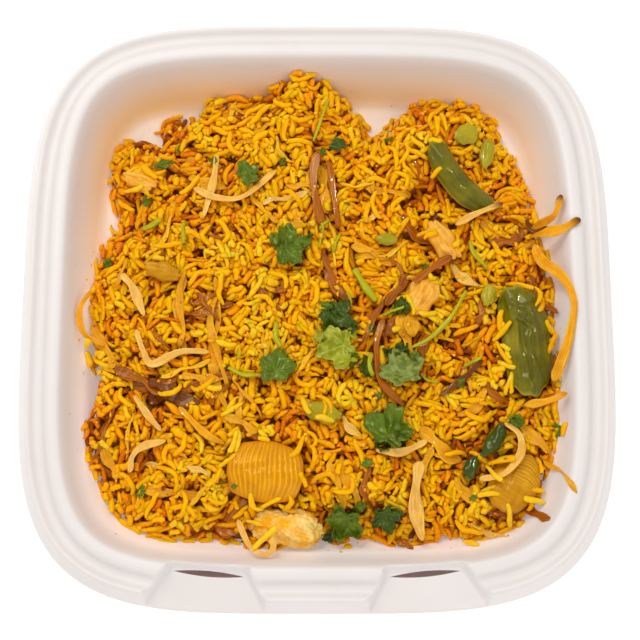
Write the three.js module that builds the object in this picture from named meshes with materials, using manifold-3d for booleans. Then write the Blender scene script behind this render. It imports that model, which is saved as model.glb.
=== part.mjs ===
// Vegetable biryani in the tray half of a white foam meal box.
// Millimetres, +Z up. The origin lies under the middle of the tray, on the surface that it stands on.
// The tray's back is towards +Y and its latch lip, with two slots for a lid's tabs, towards -Y.
//
// The rice is one solid: a heap whose top is a fold of grain-sized ridges, with whole grains fused on.
// Every pepper, onion, potato, leaf and stem on it is a solid of its own, laid on the heap from the
// bottom up, so that each one knows the height of what lies under it.
import * as THREE from "three";
import { ConvexHull } from "three/addons/math/ConvexHull.js";
import { mergeVertices } from "three/addons/utils/BufferGeometryUtils.js";
import Module from "manifold-3d";

// ---------------------------------------------------------------- driving dimensions
const trayWidth = 235;
const trayLength = 240.5;
const trayHeight = 35;
const floorTop = 3; // the foam's thickness and the shallow recess under it
const cornerPower = 4.1; // exponent of the rounded square: 2 is an ellipse, more is squarer
const gap = 0.35; // clearance kept between any two solids

const grainLength = 8;
const grainWidth = 2.1;
const valleyPitch = 4.3; // closest that two low points between the ridges come
const grainPitch = 6; // closest that two ridges of the heap's top come to each other
const heapDepth = 21; // rice above the tray's floor, at the middle
const heapInset = 28; // from the tray's outline in to the heap's edge

const onionThickness = 0.9;
const leafThickness = 0.6;
const stemWidth = 2.2;

const colours = {
  foam: 0xf1ecea,
  rice: 0xe9a21c,
  pepper: 0x6f7a1c,
  onionPale: 0xdda653,
  onionAmber: 0xc98418,
  onionBrown: 0x9c5212,
  onionBurnt: 0x3c1a10,
  potato: 0xeab53c,
  leaf: 0x3c6b22,
  stem: 0x9cb23a,
};

// ---------------------------------------------------------------- small tools
const degrees = Math.PI / 180;

// A repeatable stream of numbers from 0 to 1.
function seededRandom(seed) {
  let state = seed;
  return () => {
    state = (state * 1664525 + 1013904223) % 4294967296;
    return state / 4294967296;
  };
}

const wasm = await Module();
wasm.setup();

// A closed BufferGeometry as a solid that can be joined and cut.
function solidFrom(geometry) {
  const bare = geometry.index ? geometry.toNonIndexed() : geometry.clone();
  bare.deleteAttribute("normal");
  bare.deleteAttribute("uv");
  const merged = mergeVertices(bare, 1e-4);
  return new wasm.Manifold(
    new wasm.Mesh({
      numProp: 3,
      vertProperties: merged.attributes.position.array,
      triVerts: new Uint32Array(merged.index.array),
    }),
  );
}

function geometryFrom(solid) {
  const made = solid.getMesh();
  return geometryOf(Array.from(made.vertProperties), Array.from(made.triVerts));
}

function geometryOf(positions, triangles) {
  const geometry = new THREE.BufferGeometry();
  geometry.setAttribute("position", new THREE.Float32BufferAttribute(positions, 3));
  geometry.setIndex(triangles);
  geometry.computeVertexNormals();
  return geometry;
}

// ---------------------------------------------------------------- the tray's plan
const halfWidth = trayWidth / 2;
const halfLength = trayLength / 2;

function outlineReach(angle) {
  const across = Math.abs(Math.cos(angle) / halfWidth) ** cornerPower;
  const along = Math.abs(Math.sin(angle) / halfLength) ** cornerPower;
  return (across + along) ** (-1 / cornerPower);
}

// The outline's point at an angle, with its outward normal.
function outlineAt(angle) {
  const x = outlineReach(angle) * Math.cos(angle);
  const y = outlineReach(angle) * Math.sin(angle);
  const normal = new THREE.Vector2(
    (Math.sign(x) * Math.abs(x) ** (cornerPower - 1)) / halfWidth ** cornerPower,
    (Math.sign(y) * Math.abs(y) ** (cornerPower - 1)) / halfLength ** cornerPower,
  ).normalize();
  return { x, y, normal };
}

// How far a point lies inside the outline, measured square to it.
function insetOf(x, y) {
  const edge = outlineAt(Math.atan2(y, x));
  return (edge.x - x) * edge.normal.x + (edge.y - y) * edge.normal.y;
}

// Angles round the tray: wide steps on the nearly straight sides, fine ones in the corners.
function trayAngles() {
  const sideStep = 10;
  const cornerFrom = 24;
  const cornerTo = 66;
  const cornerSteps = 8;
  const quarter = [];
  for (let a = 0; a < cornerFrom; a += sideStep) quarter.push(a);
  for (let i = 0; i < cornerSteps; i++) {
    quarter.push(cornerFrom + ((cornerTo - cornerFrom) * i) / cornerSteps);
  }
  for (let a = cornerTo; a < 90; a += sideStep) quarter.push(a);
  return [0, 90, 180, 270].flatMap((start) => quarter.map((a) => (start + a) * degrees));
}

// A solid of rings that follow the outline, each { inset, z }, from its top centre to its bottom centre.
function ringSolid(rings) {
  const angles = trayAngles();
  const count = angles.length;
  const positions = [0, 0, rings[0].z];
  for (const { inset, z } of rings) {
    for (const angle of angles) {
      const { x, y, normal } = outlineAt(angle);
      positions.push(x - inset * normal.x, y - inset * normal.y, z);
    }
  }
  positions.push(0, 0, rings.at(-1).z);
  const last = positions.length / 3 - 1;
  const at = (ring, i) => 1 + ring * count + (i % count);
  const triangles = [];
  for (let i = 0; i < count; i++) {
    triangles.push(0, at(0, i), at(0, i + 1));
    for (let ring = 0; ring < rings.length - 1; ring++) {
      triangles.push(at(ring, i), at(ring + 1, i), at(ring + 1, i + 1));
      triangles.push(at(ring, i), at(ring + 1, i + 1), at(ring, i + 1));
    }
    triangles.push(last, at(rings.length - 1, i + 1), at(rings.length - 1, i));
  }
  return geometryOf(positions, triangles);
}

// ---------------------------------------------------------------- the tray
// The foam sheet's section, from the floor up the wall, over the rim and back underneath.
const innerWall = [
  { inset: 33.5, z: floorTop },
  { inset: 29, z: floorTop + 2.2 },
  { inset: 26, z: floorTop + 7 },
  { inset: 19, z: trayHeight - 4 },
  { inset: 17.2, z: trayHeight - 0.7 },
];
const rimTop = [
  { inset: 15.6, z: trayHeight },
  { inset: 12.4, z: trayHeight },
  { inset: 10.2, z: trayHeight - 2.8 },
  { inset: 7.4, z: trayHeight - 2.8 },
  { inset: 5.6, z: trayHeight - 0.5 },
  { inset: 4.2, z: trayHeight - 0.5 },
];
const skirt = [
  { inset: 0.6, z: trayHeight - 8.6 },
  { inset: 0, z: trayHeight - 9.6 },
  { inset: 1.6, z: trayHeight - 10 },
];
const underside = [
  { inset: 5.6, z: trayHeight - 2.9 },
  { inset: 8.8, z: trayHeight - 5.2 },
  { inset: 14.4, z: trayHeight - 2.4 },
  { inset: 16.9, z: trayHeight - 5 },
  { inset: 24, z: floorTop + 6.6 },
  { inset: 27.4, z: 3.2 },
  { inset: 31, z: 0 },
  { inset: 38, z: 0 },
  { inset: 40, z: 0.7 },
];

const latchCentre = 41; // each slot's middle, to the left and right of the tray's own
const latchInset = 14.8; // from the tray's front edge in to the slot
const latchTurn = 5 * degrees; // the two latches turn with the rounded front
const slotLength = 27;
const slotWidth = 2.3;
const ledgeDrop = 5; // from the rim's top down to the ledge, at the slot
const ledgeSlope = 0.25; // the ledge falls towards the tray's front edge
const foamSheet = 2;

// Puts a form made round the slot's middle, at the height of the rim's top, where its latch is.
function atLatch(geometry, side) {
  geometry.rotateZ(side * latchTurn);
  return geometry.translate(side * latchCentre, latchInset - halfLength, trayHeight);
}

// The recess in front of a lid's tab: a ledge, a face that slants up behind the slot and flared sides.
// margin makes it larger all round, for the foam that it is pressed in.
function latchForm(side, margin = 0) {
  const ledge = -ledgeDrop - margin;
  const back = 1.1 + margin * Math.SQRT2 - margin;
  const front = -18;
  const above = 5;
  const corners = [
    { half: 14 + margin, y: back, z: ledge },
    { half: 14 + margin, y: back + above - ledge, z: above },
    { half: 26 + margin, y: front, z: ledge + ledgeSlope * front },
    { half: 26 + margin, y: front, z: above },
  ];
  const positions = corners.flatMap(({ half, y, z }) => [-half, y, z, half, y, z]);
  const triangles = [0, 5, 4, 0, 1, 5, 2, 7, 3, 2, 6, 7, 0, 3, 1, 0, 2, 3];
  triangles.push(4, 7, 6, 4, 5, 7, 0, 6, 2, 0, 4, 6, 1, 7, 5, 1, 3, 7);
  return solidFrom(atLatch(geometryOf(positions, triangles), side));
}

// A lens-shaped slit at the foot of the slanted face.
function latchSlot(side) {
  const lens = new THREE.Shape().moveTo(-slotLength / 2, 0);
  lens.quadraticCurveTo(0, slotWidth, slotLength / 2, 0);
  lens.quadraticCurveTo(0, -slotWidth, -slotLength / 2, 0);
  const slit = new THREE.ExtrudeGeometry(lens, { depth: 20, bevelEnabled: false, curveSegments: 8 });
  return solidFrom(atLatch(slit.translate(0, 0, -15), side));
}

function buildTray() {
  let tray = solidFrom(ringSolid([...innerWall, ...rimTop, ...skirt, ...underside]));
  const withinRim = [...rimTop, skirt[0], skirt[1]].map(({ inset, z }) => {
    return { inset: inset + foamSheet / 4, z: z - foamSheet / 4 };
  });
  const solidRim = solidFrom(ringSolid([...withinRim, { inset: 1.2, z: skirt.at(-1).z + 0.3 }]));
  for (const side of [-1, 1]) {
    tray = tray.add(latchForm(side, foamSheet).intersect(solidRim));
    tray = tray.subtract(latchForm(side)).subtract(latchSlot(side));
  }
  return geometryFrom(tray);
}

// The tray's inside, kept clear of its foam, for trimming what is put in it.
function trayCavity() {
  const walls = innerWall.map(({ inset, z }) => ({ inset: inset + gap / 2, z: z + gap }));
  const mouth = { inset: innerWall.at(-1).inset + gap, z: trayHeight + 30 };
  return solidFrom(ringSolid([...walls, mouth].reverse()));
}

// Height of the tray's upper surface at a point.
function trayTop(x, y) {
  const section = [...innerWall, ...rimTop];
  const inset = insetOf(x, y);
  if (inset >= section[0].inset) return section[0].z;
  for (let i = 1; i < section.length; i++) {
    const [inner, outer] = [section[i - 1], section[i]];
    if (inset >= outer.inset) {
      const share = (inset - outer.inset) / (inner.inset - outer.inset);
      return THREE.MathUtils.lerp(outer.z, inner.z, share);
    }
  }
  return section.at(-1).z;
}

// ---------------------------------------------------------------- the heap's form
// Where the heap's edge swells towards the wall (+) or draws back from it (-), by angle from +X.
const edgeSwells = [
  { at: 4, rise: 6, spread: 14 },
  { at: 38, rise: -7, spread: 10 },
  { at: 54, rise: 3, spread: 5 },
  { at: 73, rise: -17, spread: 6 },
  { at: 94, rise: 9, spread: 8 },
  { at: 111, rise: 3, spread: 5 },
  { at: 122, rise: -11, spread: 4 },
  { at: 132, rise: -15, spread: 4 },
  { at: 153, rise: -10, spread: 7 },
  { at: 177, rise: 4, spread: 9 },
  { at: -160, rise: -6, spread: 5 },
  { at: -149, rise: 11, spread: 5 },
  { at: -114, rise: -3, spread: 4 },
  { at: -102, rise: 9, spread: 4 },
  { at: -78, rise: -4, spread: 4 },
  { at: -60, rise: -4, spread: 3 },
  { at: -29, rise: 10, spread: 18 },
];
// Where rice is piled up at the edge, against the wall.
const edgePiles = [
  { at: -12, rise: 16, spread: 32 },
  { at: 94, rise: 18, spread: 9 },
  { at: -165, rise: 9, spread: 20 },
];
const edgeRoughness = 1.1;
const edgeHeight = 6; // rice standing at the heap's edge elsewhere

// The sum of a list's bumps at an angle.
function bumpsAt(bumps, angle) {
  let sum = 0;
  for (const { at, rise, spread } of bumps) {
    const away = THREE.MathUtils.euclideanModulo(angle / degrees - at + 180, 360) - 180;
    sum += rise * Math.exp(-((away / spread) ** 2));
  }
  return sum;
}

function heapReach(angle) {
  const rough = edgeRoughness * (Math.sin(13 * angle) + Math.sin(29 * angle + 1) / 2);
  return outlineReach(angle) - heapInset + bumpsAt(edgeSwells, angle) + rough;
}

// Mounds and hollows of the heap's top.
const mounds = [
  { x: -6, y: 88, rise: 6, spread: 16 },
  { x: 60, y: 66, rise: 2.5, spread: 16 },
  { x: -72, y: 52, rise: 2, spread: 13 },
  { x: 84, y: 0, rise: 3, spread: 24 },
  { x: 18, y: -70, rise: 2, spread: 18 },
  { x: -50, y: -40, rise: 1.5, spread: 22 },
  { x: 47, y: 40, rise: -2.5, spread: 10 },
  { x: -20, y: 20, rise: 1.5, spread: 25 },
  { x: 48, y: -72, rise: -2, spread: 14 },
];

// The heap's smooth height at a point; the ridges and grains stand on this.
function heapTop(x, y) {
  const angle = Math.atan2(y, x);
  const share = Math.min(1, Math.hypot(x, y) / heapReach(angle));
  const edge = edgeHeight + bumpsAt(edgePiles, angle);
  let height = heapDepth + 0.7 * Math.sin(x / 8 + 1.3) * Math.cos(y / 7 - 0.7);
  for (const { x: cx, y: cy, rise, spread } of mounds) {
    height += rise * Math.exp(-((x - cx) ** 2 + (y - cy) ** 2) / spread ** 2);
  }
  return floorTop + height + (edge - height) * share ** 8;
}

// ---------------------------------------------------------------- what lies where
// Heights on a grid of 1 mm squares: the highest top, and the lowest underside, of the toppings so far.
class Relief {
  constructor() {
    this.half = 140;
    this.side = 2 * this.half;
    this.tops = new Float32Array(this.side ** 2).fill(-Infinity);
    this.undersides = new Float32Array(this.side ** 2).fill(Infinity);
  }

  stamp(geometry) {
    const at = geometry.getAttribute("position");
    const index = geometry.index.array;
    const corners = [new THREE.Vector3(), new THREE.Vector3(), new THREE.Vector3()];
    const point = new THREE.Vector3();
    for (let i = 0; i < index.length; i += 3) {
      corners.forEach((corner, k) => corner.fromBufferAttribute(at, index[i + k]));
      const longest = Math.max(corners[0].distanceTo(corners[1]), corners[1].distanceTo(corners[2]));
      const steps = Math.ceil(longest / 0.5) + 1;
      for (let a = 0; a <= steps; a++) {
        for (let b = 0; a + b <= steps; b++) {
          point.copy(corners[0]).multiplyScalar(1 - (a + b) / steps);
          point.addScaledVector(corners[1], a / steps).addScaledVector(corners[2], b / steps);
          const cell = this.cell(point.x, point.y);
          this.tops[cell] = Math.max(this.tops[cell], point.z);
          this.undersides[cell] = Math.min(this.undersides[cell], point.z);
        }
      }
    }
  }

  cell(x, y) {
    return Math.floor(y + this.half) * this.side + Math.floor(x + this.half);
  }

  // The most extreme value of a layer within reach of a point.
  within(layer, x, y, reach, pick) {
    let found = layer[this.cell(x, y)];
    const cells = Math.ceil(reach);
    for (let dy = -cells; dy <= cells; dy++) {
      for (let dx = -cells; dx <= cells; dx++) {
        if (Math.hypot(dx, dy) <= cells) found = pick(found, layer[this.cell(x + dx, y + dy)]);
      }
    }
    return found;
  }

  highest(x, y, reach) {
    return this.within(this.tops, x, y, reach, Math.max);
  }

  lowest(x, y, reach) {
    return this.within(this.undersides, x, y, reach, Math.min);
  }
}

const relief = new Relief();

// The height on which a thing may lie at a point: rice, foam or an earlier topping, whichever is highest.
function groundAt(x, y, reach) {
  let ground = Math.max(heapTop(x, y) + 0.6, relief.highest(x, y, reach) + gap);
  for (let k = 0; k < 8; k++) {
    const [dx, dy] = [Math.cos((k * Math.PI) / 4), Math.sin((k * Math.PI) / 4)];
    ground = Math.max(ground, trayTop(x + reach * dx, y + reach * dy) + gap);
  }
  return ground;
}

// ---------------------------------------------------------------- kinds of topping
const group = new THREE.Group();

function addMesh(name, geometry, colour, roughness = 0.5) {
  const material = new THREE.MeshStandardMaterial({ color: colour, roughness, metalness: 0 });
  const mesh = new THREE.Mesh(geometry, material);
  mesh.name = name;
  group.add(mesh);
  return mesh;
}

// A grid of points as a closed slab: the upper face from one function, the lower from another.
function closedGrid(columns, rows, upper, lower) {
  const positions = [];
  for (const face of [upper, lower]) {
    for (let j = 0; j <= rows; j++) {
      for (let i = 0; i <= columns; i++) {
        positions.push(...face((2 * i) / columns - 1, (2 * j) / rows - 1));
      }
    }
  }
  const layer = (columns + 1) * (rows + 1);
  const at = (i, j) => j * (columns + 1) + i;
  const triangles = [];
  for (let j = 0; j < rows; j++) {
    for (let i = 0; i < columns; i++) {
      const [a, b, c, d] = [at(i, j), at(i + 1, j), at(i + 1, j + 1), at(i, j + 1)];
      triangles.push(a, b, c, a, c, d);
      triangles.push(layer + a, layer + c, layer + b, layer + a, layer + d, layer + c);
    }
  }
  const wall = (a, b) => triangles.push(a, layer + a, layer + b, a, layer + b, b);
  for (let i = 0; i < columns; i++) {
    wall(at(i, 0), at(i + 1, 0));
    wall(at(i + 1, rows), at(i, rows));
  }
  for (let j = 0; j < rows; j++) {
    wall(at(0, j + 1), at(0, j));
    wall(at(columns, j), at(columns, j + 1));
  }
  return geometryOf(positions, triangles);
}

// A cut piece of vegetable: rounded in plan, arched across its width, bent in plan along its length.
// grow makes it larger all round, for cutting its socket in the rice.
function vegetablePiece(piece, grow = 0) {
  const { x, y, length, width, turn, rise, thickness } = piece;
  const { arch = 0, bend = 0, rounding = 0.8, ribs = 0, tilt = 0, columns = 6, rows = 3 } = piece;
  const heading = turn * degrees;
  const level = heapTop(x, y) + rise;
  const place = (u, v, z) => {
    const along = (length / 2 + grow) * u * Math.sqrt(1 - (rounding * v * v) / 2);
    const across = (width / 2 + grow) * v * Math.sqrt(1 - (rounding * u * u) / 2) + bend * (u * u - 0.5);
    const slope = Math.tan(tilt * degrees) * along;
    return [
      x + along * Math.cos(heading) - across * Math.sin(heading),
      y + along * Math.sin(heading) + across * Math.cos(heading),
      level + z + slope,
    ];
  };
  const crown = (u, v) => (1 - v * v) * (1 - 0.35 * u * u);
  const ridges = (u) => (ribs ? 0.45 * Math.cos(ribs * Math.PI * u) : 0);
  const top = (u, v) => place(u, v, grow + arch * crown(u, v) + ridges(u) * (1 - v * v));
  const bottom = (u, v) => place(u, v, -grow - thickness);
  return closedGrid(columns, rows, top, bottom);
}

// A lumpy boiled piece: a rounded solid with uneven dents.
function lump({ x, y, length, width, height, turn, rise }, grow = 0) {
  const ball = new THREE.IcosahedronGeometry(1, 2);
  const at = ball.getAttribute("position");
  const heading = turn * degrees;
  for (let i = 0; i < at.count; i++) {
    const p = new THREE.Vector3().fromBufferAttribute(at, i);
    const hollows = 0.09 * Math.sin(4.1 * p.x + 2) * Math.cos(3.7 * p.y);
    const dent = 1 + hollows + 0.05 * Math.sin(7 * p.z + 3 * p.x);
    const along = p.x * dent * (length / 2 + grow);
    const across = p.y * dent * (width / 2 + grow);
    at.setXYZ(
      i,
      x + along * Math.cos(heading) - across * Math.sin(heading),
      y + along * Math.sin(heading) + across * Math.cos(heading),
      heapTop(x, y) + rise + p.z * dent * (height / 2 + grow),
    );
  }
  return geometryFrom(solidFrom(ball));
}

// Half the outline of a herb's leaf, from its tip round to its stalk: [angle in degrees, share of the size].
const leafOutline = [[16, 0.86], [30, 0.6], [47, 0.94], [68, 0.88], [90, 0.5], [125, 0.4], [162, 0.2]];

// A lobed leaf, thin and wavy, laid on what is under it. Both faces are split alike.
function leaf({ x, y, size, turn, wave = 0.8, stretch = 1 }) {
  const half = leafOutline.map(([angle, share]) => ({ angle: angle * degrees, share }));
  const outline = [
    { angle: 0, share: 1 },
    ...half,
    ...half.toReversed().map(({ angle, share }) => ({ angle: -angle, share })),
  ];
  const points = outline.length;
  const rings = size > 13 ? [0.5, 1] : [1];
  const reach = Math.ceil(size / 5);
  const middle = new THREE.Vector2(x, y);
  const spots = [{ at: middle, height: groundAt(x, y, reach) }];
  for (const ring of rings) {
    for (const { angle, share } of outline) {
      const at = new THREE.Vector2(Math.cos(angle), Math.sin(angle) * stretch);
      at.multiplyScalar((size / 1.7) * share * ring);
      at.x -= 0.15 * size * ring;
      at.rotateAround(new THREE.Vector2(), turn * degrees).add(middle);
      const fold = (wave * ring * (1 + Math.sin(3 * angle + x))) / 2;
      spots.push({ at, height: groundAt(at.x, at.y, reach) + fold });
    }
  }
  const positions = [];
  for (const lift of [leafThickness, 0]) {
    for (const { at, height } of spots) positions.push(at.x, at.y, height + lift);
  }
  const layer = spots.length;
  const triangles = [];
  const at = (ring, i) => 1 + ring * points + (i % points);
  const outer = rings.length - 1;
  for (let i = 0; i < points; i++) {
    const faces = [[0, at(0, i), at(0, i + 1)]];
    if (outer) {
      faces.push([at(0, i), at(1, i), at(1, i + 1)], [at(0, i), at(1, i + 1), at(0, i + 1)]);
    }
    for (const [a, b, c] of faces) triangles.push(a, b, c, layer + a, layer + c, layer + b);
    const [a, b] = [at(outer, i), at(outer, i + 1)];
    triangles.push(a, layer + a, layer + b, a, layer + b, b);
  }
  return geometryOf(positions, triangles);
}

// A shred, strip or stem: a section with a few sides, carried along a line over what is under it.
function strand({ through, width, thickness, sides = 4, taper = 0.35, spacing = 7.5 }) {
  const line = new THREE.CatmullRomCurve3(through.map(([px, py]) => new THREE.Vector3(px, py, 0)));
  const steps = Math.max(3, Math.round(line.getLength() / spacing));
  const spots = line.getSpacedPoints(steps);
  const finer = 4;
  const underneath = line.getSpacedPoints(steps * finer).map(({ x: px, y: py }) => {
    return groundAt(px, py, width / 2 + 0.8);
  });
  const rests = spots.map((_, i) => {
    const nearby = underneath.slice(Math.max(0, (i - 1) * finer + 1), (i + 1) * finer);
    return Math.max(...nearby);
  });
  for (let pass = 0; pass < 2; pass++) {
    for (let i = 1; i < steps; i++) {
      rests[i] = Math.max(rests[i], (rests[i - 1] + rests[i + 1]) / 2 - 0.2);
    }
  }
  const positions = [];
  spots.forEach((spot, i) => {
    const ahead = spots[Math.min(steps, i + 1)].clone().sub(spots[Math.max(0, i - 1)]).normalize();
    const end = Math.min(i, steps - i) === 0 ? taper : 1;
    for (let k = 0; k < sides; k++) {
      const around = (2 * Math.PI * (k + 0.5)) / sides;
      const across = ((width / 2) * end * Math.cos(around)) / Math.cos(Math.PI / sides);
      const up = ((thickness / 2) * Math.sin(around)) / Math.sin(Math.PI / sides);
      const lift = sides === 4 ? up : up * Math.sin(Math.PI / sides);
      positions.push(
        spot.x - ahead.y * across,
        spot.y + ahead.x * across,
        rests[i] + thickness / 2 + lift,
      );
    }
  });
  const triangles = [];
  for (let i = 0; i < steps; i++) {
    for (let k = 0; k < sides; k++) {
      const [a, b] = [i * sides + k, i * sides + ((k + 1) % sides)];
      triangles.push(a, b, b + sides, a, b + sides, a + sides);
    }
  }
  for (let k = 1; k < sides - 1; k++) {
    triangles.push(0, k + 1, k);
    triangles.push(steps * sides, steps * sides + k, steps * sides + k + 1);
  }
  return geometryOf(positions, triangles);
}

// ---------------------------------------------------------------- the toppings, from the bottom up
// Pieces that sit in the rice, each in a socket of its own.
const sunkPieces = [
  {
    name: "pepper_large", colour: colours.pepper, roughness: 0.2,
    x: 82.6, y: -14, length: 45, width: 20, turn: 96, rise: -1.6, thickness: 4, arch: 5,
    bend: 1.5, columns: 8, rows: 4,
  },
  {
    name: "pepper_strip_back", colour: colours.pepper, roughness: 0.3,
    x: 57.5, y: 53.5, length: 37, width: 11, turn: -52, rise: 0.9, thickness: 4, arch: 3.6,
    bend: 3, rounding: 0.9, columns: 7, rows: 3,
  },
  {
    name: "onion_chunk_front", colour: colours.onionAmber, roughness: 0.3,
    x: -20, y: -66, length: 30, width: 24, turn: -8, rise: 0.8, thickness: 4.5, arch: 4.2,
    rounding: 0.35, ribs: 5, columns: 10, rows: 4,
  },
  {
    name: "onion_petal_right", colour: colours.onionAmber, roughness: 0.3,
    x: 77, y: -70, length: 25, width: 19, turn: 58, rise: -0.2, thickness: 3.5, arch: 3.4,
    rounding: 0.8, ribs: 3, columns: 7, rows: 3,
  },
];
const sunkLumps = [
  {
    name: "potato_piece", colour: colours.potato, roughness: 0.7,
    x: -12, y: -87, length: 27, width: 14, height: 12, turn: -8, rise: 0,
  },
];

for (const piece of sunkPieces) {
  relief.stamp(addMesh(piece.name, vegetablePiece(piece), piece.colour, piece.roughness).geometry);
}
for (const piece of sunkLumps) {
  relief.stamp(addMesh(piece.name, lump(piece), piece.colour, piece.roughness).geometry);
}
const sockets = [
  ...sunkPieces.map((piece) => solidFrom(vegetablePiece(piece, gap))),
  ...sunkLumps.map((piece) => solidFrom(lump(piece, gap))),
];

// From here on the rice is pressed down under each topping, so its underside is kept apart.
relief.undersides.fill(Infinity);

const shallow = { thickness: 1.6, rounding: 0.7, columns: 4, rows: 2 };
const lyingPieces = [
  { name: "pepper_flat_back", x: 61.5, y: 73.5, length: 10, width: 9, turn: 10, rise: 1.8, arch: 0.8 },
  { name: "pepper_sliver_back", x: 70, y: 65.5, length: 13, width: 6, turn: 80, rise: 1.8, arch: 1 },
  { name: "pepper_slice_middle", x: 2, y: -43, length: 15, width: 8, turn: -18, rise: 2, arch: 1.6 },
  { name: "pepper_bit_right", x: 68.3, y: 4, length: 9, width: 6, turn: 75, rise: 2, arch: 1 },
  { name: "pepper_bit_centre", x: 28, y: 27.5, length: 9, width: 5, turn: 0, rise: 1.9, arch: 1 },
  { name: "chilli_long", x: 69, y: -54, length: 16, width: 7, turn: 56, rise: 2, arch: 2.4 },
  { name: "chilli_short", x: 60, y: -64.5, length: 10, width: 6, turn: 65, rise: 2, arch: 1.8 },
];
for (const piece of lyingPieces) {
  const geometry = vegetablePiece({ ...shallow, ...piece });
  relief.stamp(addMesh(piece.name, geometry, colours.pepper, 0.3).geometry);
}

const petals = [
  { name: "onion_petal_middle", x: 42, y: 4, length: 16, width: 12, turn: 60, rise: 2, arch: 2.4 },
  { name: "onion_petal_back", x: 51, y: 27, length: 18, width: 10, turn: -60, rise: 2, arch: 2.4 },
  { name: "onion_petal_left", x: -72, y: 53.5, length: 14, width: 9, turn: -25, rise: 2, arch: 2 },
  { name: "onion_petal_olive", x: -62, y: 14.5, length: 15, width: 8, turn: -14, rise: 2, arch: 2 },
];
for (const piece of petals) {
  const geometry = vegetablePiece({ ...shallow, ...piece });
  relief.stamp(addMesh(piece.name, geometry, colours.onionAmber, 0.35).geometry);
}

// Fried and softened onion: the shade, the width and the points that each strand passes through.
const onionStrands = {
  onion_long_right: {
    shade: "onionAmber", width: 4.2,
    through: [[88, 26], [90, 17], [97.5, 8], [100.5, -1], [99, -11], [96, -21], [92.5, -31]],
  },
  onion_shred_left_hook: {
    shade: "onionPale", width: 3.2,
    through: [[-73, -66], [-72, -60], [-67.5, -56], [-59, -54]],
  },
  onion_shred_left_low: {
    shade: "onionPale", width: 3,
    through: [[-72, -36], [-67, -43], [-61, -50]],
  },
  onion_shred_left_bent: {
    shade: "onionPale", width: 3.2,
    through: [[-72, -9.5], [-69, -18], [-65, -23.5], [-54, -18.5], [-43, -18.5]],
  },
  onion_shred_left_edge: {
    shade: "onionPale", width: 4,
    through: [[-79, 14], [-74, 8], [-69, -3.5]],
  },
  onion_loop_left: {
    shade: "onionAmber", width: 2.6,
    through: [[-91, 7], [-94.5, -2], [-92.5, -11], [-85, -15]],
  },
  onion_shred_upright: {
    shade: "onionPale", width: 3.2,
    through: [[-41, 64], [-42.5, 51], [-46, 37]],
  },
  onion_shred_crossing: {
    shade: "onionPale", width: 2.8,
    through: [[-50, 49], [-41, 45], [-30, 45.5], [-17, 57]],
  },
  onion_shred_lower: {
    shade: "onionAmber", width: 3,
    through: [[-54, -41], [-44, -51], [-36, -55.5]],
  },
  onion_brown_back: {
    shade: "onionBrown", width: 4,
    through: [[0, 65], [-1.5, 52], [1.5, 34]],
  },
  onion_brown_back_thin: {
    shade: "onionBrown", width: 3,
    through: [[4.8, 61], [6.5, 48], [8.5, 33]],
  },
  onion_ring_right: {
    shade: "onionPale", width: 3.2,
    through: [[73, -47.5], [78.5, -52], [79, -59.5], [72.5, -67], [63, -69]],
  },
  onion_petal_long: {
    shade: "onionPale", width: 6.5,
    through: [[40, -62], [38, -77], [41, -92]],
  },
  onion_shred_beige: {
    shade: "onionPale", width: 3.4,
    through: [[23, -58], [33, -58.5], [43, -54]],
  },
  onion_brown_middle: {
    shade: "onionBrown", width: 3,
    through: [[26.5, -5], [23.5, -16], [25, -30], [34, -40]],
  },
  onion_burnt_right: {
    shade: "onionBurnt", width: 2.8,
    through: [[48, -36.5], [57, -30], [65.5, -22]],
  },
  onion_brown_upper: {
    shade: "onionBrown", width: 3.6,
    through: [[38.5, 9], [45, 14], [54, 20]],
  },
  onion_shred_tipped: {
    shade: "onionPale", width: 2.8,
    through: [[56, 34], [64, 37.5], [75, 42]],
  },
  onion_loop_front: {
    shade: "onionPale", width: 2.6,
    through: [[-31, -84], [-25.5, -95], [-19.5, -98], [-16.5, -94.5], [-21, -88]],
  },
  onion_sprig_long: {
    shade: "onionAmber", width: 4.2,
    through: [[86, 29], [95, 28.5], [104.5, 33]],
  },
  onion_sprig_short: {
    shade: "onionAmber", width: 3.2,
    through: [[87.5, 34], [94.5, 35.5], [97.5, 43.5]],
  },
  onion_tip_right: {
    shade: "onionAmber", width: 3.2,
    through: [[81, -40.5], [90.5, -39], [97, -36.5]],
  },
};
for (const [name, { shade, width, through }] of Object.entries(onionStrands)) {
  const geometry = strand({ through, width, thickness: onionThickness });
  relief.stamp(addMesh(name, geometry, colours[shade], 0.35).geometry);
}

// Green stalks.
const stems = {
  stem_long: { width: 1.9, through: [[59.5, 6], [53, -5], [45, -13], [37.5, -17]] },
  stem_thick: { width: 3.2, through: [[15, 15], [19, 8], [23.5, 2]] },
  stem_curved_right: { width: 1.8, through: [[61.5, 27], [63.5, 20.5], [68.5, 15.5]] },
  stem_back: { width: 1.4, through: [[-1.5, 69], [2, 79], [4.5, 87]] },
  stem_low_left: { width: 1.9, through: [[-35, -25], [-29, -28], [-22, -28]] },
};
for (const [name, { width, through }] of Object.entries(stems)) {
  const geometry = strand({ through, width, thickness: width, sides: 5, taper: 0.7 });
  relief.stamp(addMesh(name, geometry, colours.stem, 0.35).geometry);
}

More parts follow.
